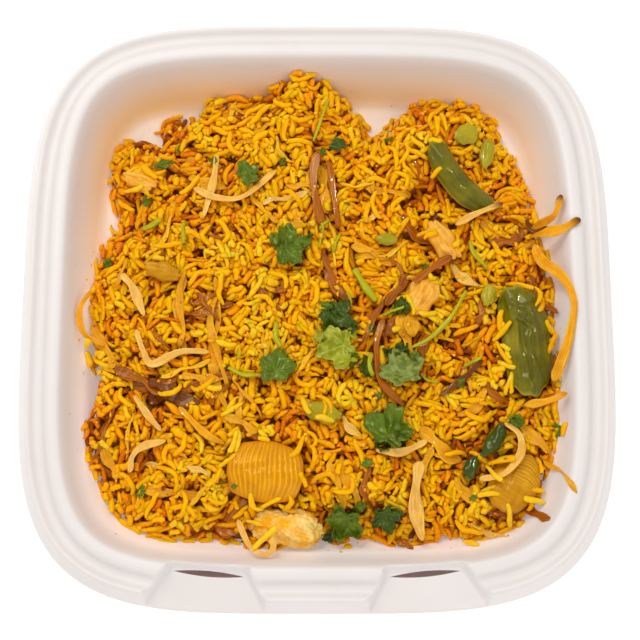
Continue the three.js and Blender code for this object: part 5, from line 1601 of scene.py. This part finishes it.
def slab_part(name, place, size, turn, depth, arch, bend, rounding, ribs):
    """An arched slab over its solid: (points, face arrays, fields)."""
    step = 0.28 if ribs else 0.55
    columns, rows = (max(8, round(side / step)) for side in size)
    u, v = np.meshgrid(np.linspace(-1, 1, columns + 1), np.linspace(-1, 1, rows + 1))
    seed = sum(map(ord, name))
    ragged = RIBBED if ribs else RAGGED.get(name, WAVY)
    edge_wobble = 1 + ragged * (0.03 * np.sin(5 * u + 3 * v + seed) + 0.025 * np.sin(9 * v - 4 * u))
    along = size[0] / 2 * u * np.sqrt(1 - rounding * v**2 / 2) * edge_wobble
    across = size[1] / 2 * v * np.sqrt(1 - rounding * u**2 / 2) * edge_wobble + bend * (u**2 - 0.5)
    x, y = turned(along, across, turn, place)
    z, rib, edge = slab_top(name, u, v, x, y, depth, arch, ribs, ragged)
    drawn_in = [place[k] + UNDERCUT * (flat - place[k]) for k, flat in enumerate((x, y))]
    lower = np.stack([*drawn_in, np.full(x.shape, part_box(name)[0].z / MM) + 0.1], 2)
    pale_patch = 0 * u
    if name == "pepper_large":  # a paler patch near one edge
        pale_patch = 0.6 * np.exp(-((u - 0.05) / 0.3) ** 4 - ((v - 0.62) / 0.24) ** 4)
    layer = x.size
    number = np.arange(layer).reshape(x.shape)
    top = np.stack([number[:-1, :-1], number[:-1, 1:], number[1:, 1:], number[1:, :-1]], 2).reshape(-1, 4)
    loop = np.concatenate([number[0, :-1], number[:-1, -1], number[-1, :0:-1], number[:0:-1, 0]])
    after = np.roll(loop, -1)
    wall = np.stack([loop, loop + layer, after + layer, after], 1)
    points = np.concatenate([np.stack([x, y, z], 2).reshape(-1, 3), lower.reshape(-1, 3)])
    fields = {
        "along": np.tile(across.ravel() if ribs else along.ravel(), 2),
        "across": np.tile((u if ribs else v * 0.9).ravel(), 2),
        "burn": np.zeros(2 * layer),
        "rib": np.tile(rib.ravel(), 2),
        "flesh": np.concatenate(
            [np.maximum(np.clip((edge - 0.93) / 0.07, 0, 1), pale_patch).ravel(), np.ones(layer)],
        ),
    }
    return points, [top, (top + layer)[:, ::-1], wall], fields

# %% Pepper skin
def pepper_skin(name, main, second, flesh, rough=0.16):
    """Cooked green pepper: glossy olive skin, blotched, with paler flesh where it is cut."""
    material, tree, shader = new_material(
        name, rough, Coat_Weight=0.45, Coat_Roughness=0.02, Subsurface_Weight=0.1, Subsurface_Scale=0.001,
        Specular_IOR_Level=0.2,
    )
    shader.inputs["Specular Tint"].default_value = (0.95, 0.9, 0.2, 1)
    skin = use_group(tree, BLOTCHES, Main=main, Second=second, Size=120.0, Share=0.8)
    streaks = use_group(
        tree, FIBRES, Main=skin["Color"], Fibre=second, Edge=skin["Color"], Count=5.0, Strength=0.35,
    )
    cut = blend(tree, field(tree, "flesh"), streaks["Color"], flesh)
    grain = use_group(tree, FINE_GRAIN, Size=700.0, Middle=rough, Swing=0.12)
    finish_material(tree, shader, cut, grain["Roughness"], bump(tree, grain["Height"], 0.00025, 0.4))
    return material


GREEN_PEPPER = pepper_skin(
    "green_pepper", (0.085, 0.08, 0.001, 1), (0.20, 0.17, 0.002, 1), (0.36, 0.31, 0.03, 1),
)
PALE_PEPPER = pepper_skin(
    "soft_pepper", (0.30, 0.25, 0.003, 1), (0.44, 0.34, 0.006, 1), (0.50, 0.42, 0.04, 1), 0.3,
)
GREEN_CHILLI = pepper_skin(
    "green_chilli", (0.024, 0.042, 0.002, 1), (0.05, 0.08, 0.003, 1), (0.20, 0.24, 0.03, 1), 0.14,
)
print("skins:", GREEN_PEPPER.name, PALE_PEPPER.name, GREEN_CHILLI.name)

# %% Onion layers
CHUNK_LAYER = wet_strip(
    "onion_chunk", (0.66, 0.25, 0.0005, 1), (0.90, 0.45, 0.01, 1), (0.60, 0.20, 0.0005, 1),
    count=9.0, strength=0.2, rough=0.12, coat=0.12, sheer=0.25,
)
OLIVE_LAYER = wet_strip(
    "onion_layer", (0.54, 0.23, 0.001, 1), (0.76, 0.42, 0.01, 1), (0.44, 0.16, 0.001, 1),
    count=5.0, strength=0.35, rough=0.16, coat=0.25, sheer=0.4,
)
PETAL_LAYER = wet_strip(
    "onion_petal", (0.84, 0.36, 0.015, 1), (0.97, 0.58, 0.12, 1), (0.72, 0.27, 0.005, 1),
    count=4.0, strength=0.7, rough=0.16, coat=0.3, sheer=0.5,
)
print("layers:", CHUNK_LAYER.name, OLIVE_LAYER.name, PETAL_LAYER.name)

# %% Adding the slabs
# Each entry: a finish and a slot name. The first name that a piece's own name starts with gives its finish.
SLAB_FINISHES = {
    "chilli": (GREEN_CHILLI, "pepper"),
    "pepper_large": (GREEN_PEPPER, "pepper"),
    "pepper_strip_back": (GREEN_PEPPER, "pepper"),
    "pepper": (PALE_PEPPER, "pepper"),
    "onion_chunk_front": (CHUNK_LAYER, "onion_amber"),
    "onion_petal_right": (OLIVE_LAYER, "onion_amber"),
    "onion_petal_olive": (OLIVE_LAYER, "onion_amber"),
    "onion": (PETAL_LAYER, "onion_amber"),
}
for name, shape in SLABS.items():
    finish, slot = next(found for start, found in SLAB_FINISHES.items() if name.startswith(start))
    piece = add_piece(f"{name}_cut", join_parts(name, [slab_part(name, *shape)]), finish, [name])
    print(piece.name, len(piece.data.polygons), "faces")

# %% [markdown]
# ### Potato
# A boiled piece of potato is a soft lump with dents and crumbling corners, stained yellow on the
# outside. A ball is pushed in and out by a few waves, first broad, then fine.

# %% Potato
POTATO_PLACE, POTATO_SIZE, POTATO_TURN = (-12, -87), (27, 14, 12), -8
ROWS, COLUMNS = 44, 80


def potato_flesh():
    """Pale crumbly flesh, stained yellow in blotches."""
    material, tree, shader = new_material(
        "boiled_potato", 0.55, Subsurface_Weight=0.35, Subsurface_Scale=0.002,
    )
    shader.inputs["Specular Tint"].default_value = (1.0, 0.8, 0.4, 1)
    stained = use_group(
        tree, BLOTCHES, Main=(1.0, 0.70, 0.22, 1), Second=(1.0, 0.46, 0.006, 1), Size=170.0, Share=1.3,
    )
    grain = use_group(tree, FINE_GRAIN, Size=900.0, Middle=0.55, Swing=0.3)
    finish_material(
        tree, shader, stained["Color"], grain["Roughness"], bump(tree, grain["Height"], 0.0006, 0.7),
    )
    return material


def build_potato():
    """A dented ball over the potato's solid."""
    polar = np.linspace(0, math.pi, ROWS + 1)[1:-1, None]
    way = np.linspace(0, math.tau, COLUMNS, endpoint=False)
    sides = np.stack([np.sin(polar) * np.cos(way), np.sin(polar) * np.sin(way), np.cos(polar) + 0 * way], 2)
    x, y, z = np.concatenate([sides.reshape(-1, 3), [[0, 0, 1], [0, 0, -1]]]).T
    dent = 1 + 0.10 * np.sin(4.1 * x + 2) * np.cos(3.7 * y) + 0.05 * np.sin(7 * z + 3 * x)
    dent += 0.07 * ripples(x + z, y - z, 0.6, 5) + 0.05 * ripples(x - z, y + z, 0.25, 6)
    low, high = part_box("potato_piece")
    along, across, up = (dent * way * size / 2 for way, size in zip((x, y, z), POTATO_SIZE))
    points = np.stack([*turned(along, across, POTATO_TURN, POTATO_PLACE), (low.z + high.z) / (2 * MM) + up], 1)
    first, pole = np.arange(COLUMNS), (ROWS - 1) * COLUMNS
    caps = [fan_faces(pole, first), fan_faces(pole + 1, first + pole - COLUMNS, True)]
    return build_mesh("potato", points, [ring_faces(ROWS - 1, COLUMNS, True), *caps])


potato = add_piece("potato_boiled", build_potato(), potato_flesh(), ["potato_piece"])
print("potato faces:", len(potato.data.polygons))

# %% [markdown]
# ### Herb leaves
# A coriander leaf has a few rounded lobes with toothed edges. Each lobe has a vein down its middle
# and finer ones that branch off. A leaf laid on hot rice wilts: it folds along its veins and its
# edge curls. So each leaf is a polar grid over its solid, creased along its lobes, with its place
# from the nearest vein stored for the material.

# %% Leaf veins as a node group
def build_veins():
    """A midrib and slanting branches between two colours, and a height for a bump."""
    inputs = [("Blade", "Color", (1, 1, 1, 1)), ("Vein", "Color", (1, 1, 1, 1))]
    group, given, out = new_group("leaf_veins", inputs, [("Color", "Color"), ("Height", "Float")])
    aside = calc(group, "ABSOLUTE", field(group, "from_vein"))
    midrib = scale_to(group, aside, 0.12, 0.4, 1.0, 0.0)
    slanted = calc(group, "MULTIPLY_ADD", aside, -0.9, field(group, "up_vein"))
    paced = calc(group, "MULTIPLY", slanted, 0.62)
    wave = calc(group, "PINGPONG", paced, 1.0)
    branches = scale_to(group, wave, 0.0, 0.16, 0.7, 0.0)
    veins = calc(group, "MAXIMUM", midrib, branches)
    group.links.new(blend(group, veins, given["Blade"], given["Vein"]), out.inputs["Color"])
    group.links.new(veins, out.inputs["Height"])
    return group


VEINS = build_veins()
print("veins:", VEINS.name)

# %% Leaf greens
def leaf_green(name, blade, second, vein, rough=0.3):
    """A leaf's finish: two greens in blotches, lighter veins, and light through the blade."""
    material, tree, shader = new_material(
        name, rough, Coat_Weight=0.3, Coat_Roughness=0.15, Subsurface_Weight=0.1, Subsurface_Scale=0.001,
        Specular_IOR_Level=0.3,
    )
    shader.inputs["Specular Tint"].default_value = (0.9, 1.0, 0.3, 1)
    shade = use_group(tree, BLOTCHES, Main=blade, Second=second, Size=330.0, Share=0.9)
    veined = use_group(tree, VEINS, Blade=shade["Color"], Vein=vein)
    grain = use_group(tree, FINE_GRAIN, Size=1200.0, Middle=rough, Swing=0.25)
    finish_material(
        tree, shader, veined["Color"], grain["Roughness"], bump(tree, veined["Height"], 0.0003, -0.6),
    )
    return material


LEAF_GREENS = {
    "dark": leaf_green(
        "dark_leaf", (0.020, 0.046, 0.002, 1), (0.05, 0.09, 0.003, 1), (0.05, 0.09, 0.004, 1),
    ),
    "fresh": leaf_green(
        "fresh_leaf", (0.060, 0.11, 0.002, 1), (0.13, 0.19, 0.006, 1), (0.12, 0.17, 0.008, 1),
    ),
    "pale": leaf_green(
        "pale_leaf", (0.24, 0.27, 0.006, 1), (0.44, 0.44, 0.04, 1), (0.40, 0.42, 0.05, 1), 0.4,
    ),
    "dusty": leaf_green(
        "leaf_underside", (0.12, 0.17, 0.012, 1), (0.34, 0.40, 0.12, 1), (0.22, 0.28, 0.05, 1), 0.45,
    ),
}
print("greens:", list(LEAF_GREENS))

# %% Leaves
# Each leaf: x, y, size, turn, stretch, how rounded its lobes are, how strongly it folds, green.
LEAVES = {
    "leaf_centre_back": (-9.5, 24.5, 19, 20, 1, 0.35, 1.1, "fresh"),
    "leaf_centre_low": (-15.5, -23.5, 15, 80, 1, 0.7, 0.7, "fresh"),
    "leaf_middle_upper": (8.5, -4.5, 16, -35, 1, 0.2, 1.0, "dark"),
    "leaf_middle_lower": (7.5, -17, 17, 200, 1, 0.3, 1.0, "pale"),
    "leaf_right_upper": (33, -25, 17, 110, 1, 0.4, 1.1, "dusty"),
    "leaf_right_lower": (28.5, -49, 19, 75, 1, 0.2, 1.2, "fresh"),
    "leaf_front": (10, -86.5, 16, 250, 1, 0.1, 0.8, "fresh"),
    "leaf_front_right": (27, -84, 12, 290, 1, 0.2, 0.8, "dark"),
    "leaf_back_left": (-27.5, 56, 12, 40, 1, 0.3, 0.8, "fresh"),
    "leaf_back_centre": (8.5, 69, 8, 120, 1, 0.2, 0.8, "dark"),
    "leaf_dark_centre": (33.5, -1, 9, 250, 0.7, 0.3, 0.9, "dark"),
    "leaf_slim_middle": (19.5, -25, 11, 100, 0.5, 0.4, 0.8, "dark"),
    "leaf_right_small": (78.5, -46.5, 9, 0, 0.6, 0.5, 0.6, "fresh"),
    "leaf_upper_left": (-62, 60.5, 12, 18, 0.4, 0.5, 0.6, "fresh"),
}
print("leaves:", len(LEAVES))

# %% A leaf's outline
VEIN_ANGLES = np.radians([-118, -60, 0, 60, 118])
LOBE_LENGTHS = np.array([0.5, 0.92, 1.0, 0.92, 0.5])
LOBE_HALF_ANGLE = math.radians(46)
BASE = 0.12  # reach where no lobe is
ROUND = 0.75  # reach that a rounded leaf tends to


def leaf_reach(way, x, rounded, dice):
    """How far a leaf reaches each way from its base, of one for its longest lobe."""
    aside = np.minimum(np.abs(way[:, None] - VEIN_ANGLES) / LOBE_HALF_ANGLE, 1)
    lobes = LOBE_LENGTHS * dice.uniform(0.75, 1.12, 5) * np.cos(aside * math.pi / 2) ** 0.75
    reach = np.maximum(lobes.max(1), BASE)
    reach = reach + 0.6 * rounded * (ROUND - reach)
    reach = np.convolve(np.pad(reach, 1, "wrap"), np.full(3, 1 / 3), "valid")
    return reach * (0.94 + 0.14 * np.abs(np.sin(way * 7.5 + x)) ** 0.8 + 0.02 * np.sin(23 * way))

# %% One leaf
LEAF_DEPTH = 0.32
LARGE = 10  # leaves larger than this get more points


def leaf_part(name, rest, x, y, size, turn, stretch, rounded, fold):
    """A folded, crumpled leaf that lies on a rest function: (points, face arrays, fields)."""
    count, rings = (84, 11) if size > LARGE else (40, 5)
    way = np.linspace(-math.pi, math.pi, count, endpoint=False)
    seed = sum(map(ord, name))
    dice = np.random.default_rng(seed)
    reach = leaf_reach(way, x, rounded, dice)
    ring = np.linspace(0, 1, rings + 1)[1:, None]
    local_x = np.concatenate([[0], ((size / 1.55) * reach * ring * np.cos(way)).ravel()])
    local_y = np.concatenate([[0], ((size / 1.55) * reach * ring * np.sin(way) * stretch).ravel()])
    ways = np.concatenate([[0], np.tile(way, rings)])
    out = np.hypot(local_x, local_y)
    nearest = VEIN_ANGLES[np.argmin(np.abs(ways[:, None] - VEIN_ANGLES[None, :]), 1)]
    up_vein = out * np.cos(ways - nearest)
    from_vein = out * np.sin(ways - nearest)
    local_x = local_x - 0.2 * size  # the leaf's own middle, not its base, lies over the middle of its solid
    px, py = turned(local_x, local_y, turn, (x, y))
    edge = np.concatenate([[0], np.repeat(ring.ravel(), count)])
    crumple = 0.45 * ripples(px, py, 6.0, seed) + 0.14 * ripples(px, py, 2.2, seed + 1)
    crease = 0.36 * np.abs(from_vein) - 0.3 * edge
    bent = dice.uniform(0, math.tau)
    crease = crease + 0.16 * np.abs(math.cos(bent) * local_x + math.sin(bent) * local_y)
    curl = 1.5 * edge**2 * ripples(px, py, 8.0, seed + 2)
    z = rest(px, py) + fold * np.maximum(1.3 * (crumple + crease) + curl, -0.35)
    top = np.stack([px, py, z], 1)
    layer = len(top)
    centre = fan_faces(0, 1 + np.arange(count))
    blades = 1 + ring_faces(rings, count, True)
    last = 1 + (rings - 1) * count + np.arange(count)
    after = np.roll(last, -1)
    rim = np.stack([last, last + layer, after + layer, after], 1)
    fields = {"up_vein": np.tile(up_vein, 2), "from_vein": np.tile(from_vein, 2)}
    faces = [centre, centre[:, ::-1] + layer, blades, blades[:, ::-1] + layer, rim]
    return np.concatenate([top, top - [0, 0, LEAF_DEPTH]]), faces, fields

# %% Adding the leaves
for name, (*shape, green) in LEAVES.items():
    mesh = join_parts(name, [leaf_part(name, lambda px, py: height_on(name, px, py), *shape)])
    leaf = add_piece(f"{name}_fresh", mesh, LEAF_GREENS[green], [name])
print("faces of the last leaf:", len(leaf.data.polygons))

# %% Lobes that fold over the leaves
# Each lobe: x, y, size, turn, stretch, how rounded, how strongly it folds, green.
LOBES = [
    (34, -17.5, 9, 60, 0.7, 0.3, 1, "dark"), (29, -19, 8, 150, 0.7, 0.3, 1, "dark"),
    (39, -20, 7, 20, 0.6, 0.3, 1, "fresh"), (26, -56, 9, 240, 0.7, 0.2, 1, "dark"),
    (33, -54, 9, 300, 0.6, 0.2, 1, "dark"), (24, -44, 8, 100, 0.6, 0.3, 1, "dusty"),
    (-20.5, -28, 5, 200, 0.9, 0.8, 0.5, "dusty"), (-17, 28, 9, 130, 0.6, 0.3, 1.2, "fresh"),
    (-4, 27.5, 8, 50, 0.6, 0.4, 1.2, "fresh"), (14, -22, 8, 320, 0.7, 0.3, 1, "fresh"),
    (1, -12, 7, 120, 0.7, 0.3, 1, "pale"), (14, -11, 7, 40, 0.7, 0.3, 1, "pale"),
    (3, 0, 7, 140, 0.7, 0.3, 1, "fresh"), (14, -8, 8, 330, 0.6, 0.2, 1, "dark"),
    (5, -90, 8, 200, 0.7, 0.2, 1, "dark"), (14, -82, 7, 60, 0.7, 0.2, 1, "dark"),
    (31, -1, 5, 60, 0.7, 0.2, 1, "fresh"),
]


def on_ground(lift):
    """A rest function for loose things: the ground map, softened, with some lift."""
    soft = softened(ground, 3)
    return lambda px, py: soft[cell_of(px, py)] + lift


ground = np.maximum(ground, topping_top)
rest = on_ground(0.8)
for green in LEAF_GREENS:
    lobes = [leaf_part(f"lobe{i}", rest, *lobe[:7]) for i, lobe in enumerate(LOBES) if lobe[7] == green]
    if lobes:
        add_piece(f"leaf_lobes_{green}", join_parts("leaf_lobes", lobes), LEAF_GREENS[green])
print("lobes:", len(LOBES))

# %% [markdown]
# ## What lies over the edges
# Stirred rice is never swept clear of a topping: grains lie across its edge and hold it down. The
# same laying routine drops about sixty more grains near the edges of the large toppings, on a map
# that now includes them.

# %% Grains over the edges of toppings
ground = np.maximum(ground, topping_top)
SUNK = (
    "pepper_large", "pepper_strip_back", "onion_chunk_front", "onion_petal_right", "potato_piece",
    "onion_petal_middle", "onion_petal_back", "onion_petal_left", "pepper_slice_middle",
)
TRIES, MOST_LAPPING = 150, 90
PROUD = 3.5  # no grain is dropped where a topping stands up more than this over the rice
covered = np.zeros((SIDE, SIDE), bool)
for name in SUNK:
    covered |= cast_map(name, SOLIDS[name])[0] > 0
near_edge = covered & ~(softened(covered.astype(float), 6) > 0.9)
rim_spots = np.nonzero(near_edge & (target > tray_top + 0.8))
BELOW_RIM = 34.5  # no loose grain stands up above this height
open_roof = np.full((SIDE, SIDE), BELOW_RIM)
lapping = []
for pick in RANDOM.integers(0, len(rim_spots[0]), TRIES):
    x = AXIS[rim_spots[1][pick]] + RANDOM.uniform(-1, 1)
    y = AXIS[rim_spots[0][pick]] + RANDOM.uniform(-1, 1)
    length, radius, bend, arch = random_grain()
    radius = 0.88 * radius
    yaw = RANDOM.uniform(0, math.pi)
    if ground[cell_of(x, y)] > smooth_target[cell_of(x, y)] + PROUD:
        continue
    found = lay_grain(ground, open_roof, x, y, [yaw], length, radius, bend)
    if found is not None and len(lapping) < MOST_LAPPING:
        lapping.append((x, y, found[0], yaw, found[1], length, radius, bend, arch))
print("lapping grains:", len(lapping))

# %% [markdown]
# ## Small things
# A cooked dish is full of things too small for a solid of their own: torn bits of leaf, black
# pepper, crumbs of spice, and a few grains that fell against the wall. They are what makes a heap
# look cooked, so they get true sizes, and each kind is one joined piece.

# %% Bits of herb
# Each bit: x, y, size, turn, stretch.
LEAF_BITS = [
    (-58, 70, 5, 60, 0.5), (-70, 45, 6, 20, 0.6), (-43, 62, 6, 140, 0.6), (-86, 21.5, 6.5, 60, 0.6),
    (30, 73.6, 4.5, 20, 0.6), (94, -49, 8, 100, 0.4), (-69, -73, 6, 60, 0.7), (14, -8, 5, 200, 0.6),
    (22, -8, 6, 80, 0.5), (44, 17, 4, 30, 0.6), (57, -31, 6, 60, 0.5), (17, -79, 6, 20, 0.7),
    (19, -63, 6, 200, 0.6), (-14, 62, 4, 30, 0.6), (2, 66, 5, 80, 0.6), (61, -76, 4, 10, 0.6),
    (12, 43, 3, 10, 0.5), (-32, -72, 3, 10, 0.6), (24, -36, 5, 300, 0.6), (73, -60, 5, 40, 0.6),
]
# Each bit of stalk: x, y, heading, length, width.
STALK_BITS = [
    (-73, 34, 6, 9, 2.4), (-53, 37, -100, 10, 1.8), (-17, -5, -88, 11, 2.0), (-31, -22, 80, 4, 1.6),
    (0, 31, 40, 7, 1.2), (1, 24, 75, 9, 1.4), (25, -3, 5, 9, 1.2), (14, 0, 100, 5, 1.2),
    (40, -26, -40, 8, 1.2), (57, -25, 20, 8, 1.4), (5, 21, 60, 10, 1.2), (4, -22, -3, 11, 2.2),
    (21, -18, -95, 10, 2.0),
]

rest = on_ground(0.5)
leaf_bits = [leaf_part(f"bit{i}", rest, x, y, size, turn, stretch, 0.4, 0.5)
             for i, (x, y, size, turn, stretch) in enumerate(LEAF_BITS)]
add_piece("herb_bits", join_parts("herb_bits", leaf_bits), LEAF_GREENS["fresh"])
stalk_bits = []
for x, y, heading, length, width in STALK_BITS:
    line = ribbon_line(x, y, heading, length, 15)
    path = np.column_stack([line, lie_on(ground, line, width / 2, width * 0.3)])
    points, faces, fields = strand_part(path, width / 2, width * 0.42, taper=0.75)
    fields["burn"] = 0 * fields["share"]
    raise_ground(ground, path, width / 2, width * 0.4)
    stalk_bits.append((points, faces, fields))
add_piece("stalk_bits", join_parts("stalk_bits", stalk_bits), STALK_GREEN)
print("bits of herb:", len(leaf_bits), "and of stalk:", len(stalk_bits))

# %% Specks and crumbs
OCTAHEDRON = np.array([(1, 0, 0), (-1, 0, 0), (0, 1, 0), (0, -1, 0), (0, 0, 1), (0, 0, -1)], float)
OCTAHEDRON_FACES = np.array(
    [(0, 2, 4), (2, 1, 4), (1, 3, 4), (3, 0, 4), (2, 0, 5), (1, 2, 5), (3, 1, 5), (0, 3, 5)],
)


def round_bit():
    """A ball of 32 faces: an octahedron with its edges halved and pushed out."""
    points, faces, seen = list(OCTAHEDRON), [], {}

    def middle(a, b):
        """The number of the point halfway between two points, made once for each pair."""
        key = (min(a, b), max(a, b))
        if key not in seen:
            between = points[a] + points[b]
            points.append(between / np.linalg.norm(between))
            seen[key] = len(points) - 1
        return seen[key]

    for a, b, c in OCTAHEDRON_FACES:
        ab, bc, ca = middle(a, b), middle(b, c), middle(c, a)
        faces += [(a, ab, ca), (ab, b, bc), (ca, bc, c), (ab, bc, ca)]
    return np.array(points), np.array(faces)


BIT_POINTS, BIT_FACES = round_bit()


def scatter_bits(name, count, sizes, squash, material, seed, spots):
    """Uneven bits pressed into the top of the ground, as one mesh."""
    dice = np.random.default_rng(seed)
    pick = dice.integers(0, len(spots[0]), count)
    x = AXIS[spots[1][pick]] + dice.uniform(-0.25, 0.25, count)
    y = AXIS[spots[0][pick]] + dice.uniform(-0.25, 0.25, count)
    z = ground[spots[0][pick], spots[1][pick]]
    size = dice.uniform(*sizes, count)[:, None, None]
    shape = BIT_POINTS[None] * (1 + 0.22 * dice.standard_normal((count, len(BIT_POINTS), 1)))
    shape = shape * size * np.array([1, 1, squash]) * (1 + 0.35 * dice.standard_normal((count, 1, 3)))
    points = shape + np.stack([x, y, z + 0.1 * size[:, 0, 0]], 1)[:, None, :]
    faces = BIT_FACES[None] + np.arange(count)[:, None, None] * len(BIT_POINTS)
    mesh = build_mesh(name, points, [faces.reshape(-1, 3)])
    set_field(mesh, "tint", np.repeat(dice.random(count), len(BIT_POINTS)))
    return add_piece(name, mesh, material)


def crumb_material(name, light, dark, rough=0.5):
    """Dry crumbs, each with a shade of its own."""
    material, tree, shader = new_material(name, rough, Specular_IOR_Level=0.3)
    shade = use_group(
        tree, BLOTCHES, Main=blend(tree, field(tree, "tint"), light, dark), Second=dark, Size=900.0,
        Share=0.7,
    )
    grain = use_group(tree, FINE_GRAIN, Size=2500.0, Middle=rough, Swing=0.3)
    finish_material(
        tree, shader, shade["Color"], grain["Roughness"], bump(tree, grain["Height"], 0.0002, 0.6),
    )
    return material


heap_spots = np.nonzero((target > tray_top + 2.0) & (softened((topping_top > 0).astype(float), 4) < 0.02))
SPECK = crumb_material("pepper_speck", (0.05, 0.02, 0.008, 1), (0.012, 0.006, 0.004, 1))
CRUMB = crumb_material("spice_crumb", (0.95, 0.40, 0.004, 1), (0.70, 0.22, 0.003, 1))
CRUMBLED = crumb_material("crumbled_rice", (1.0, 0.56, 0.006, 1), (0.95, 0.40, 0.004, 1))
scatter_bits("pepper_specks", 300, (0.14, 0.3), 0.6, SPECK, 31, heap_spots)
scatter_bits("spice_crumbs", 260, (0.3, 0.8), 0.6, CRUMB, 32, heap_spots)
scatter_bits("rice_crumbled", 380, (0.5, 1.0), 0.8, CRUMBLED, 34, heap_spots)
near_heap = softened((target > tray_top + 1).astype(float), 60) > 0.02
around_heap = (tray_inset > 20) & (target < tray_top + 0.5) & near_heap
scatter_bits("fallen_crumbs", 60, (0.15, 0.4), 0.6, CRUMB, 33, np.nonzero(around_heap))

# %% Grains against the wall
# Each stray: x, y, heading, length, radius.
STRAYS = [
    (-40.5, 90.5, 25, 6.5, 1.15), (-92, -19.5, -80, 7.0, 1.5), (-88, -63, 10, 5.0, 1.1),
    (-91.5, -15, -100, 4.5, 1.2), (96, -50, 75, 6, 1.1), (60, -93, -20, 7.5, 1.1),
    (-62, -84, 10, 5.0, 1.1), (12, -94, 10, 4.0, 1.0),
]
BEND = 0.4
for x, y, heading, length, radius in STRAYS:
    middle, slope, yaw = lay_grain(ground, open_roof, x, y, [math.radians(heading)], length, radius, BEND)
    lapping.append((x, y, middle + 0.5, yaw, slope, length, radius, BEND, 0.0))
add_rice(lower_grains + upper_grains + lapping)
print("stray grains:", len(STRAYS))
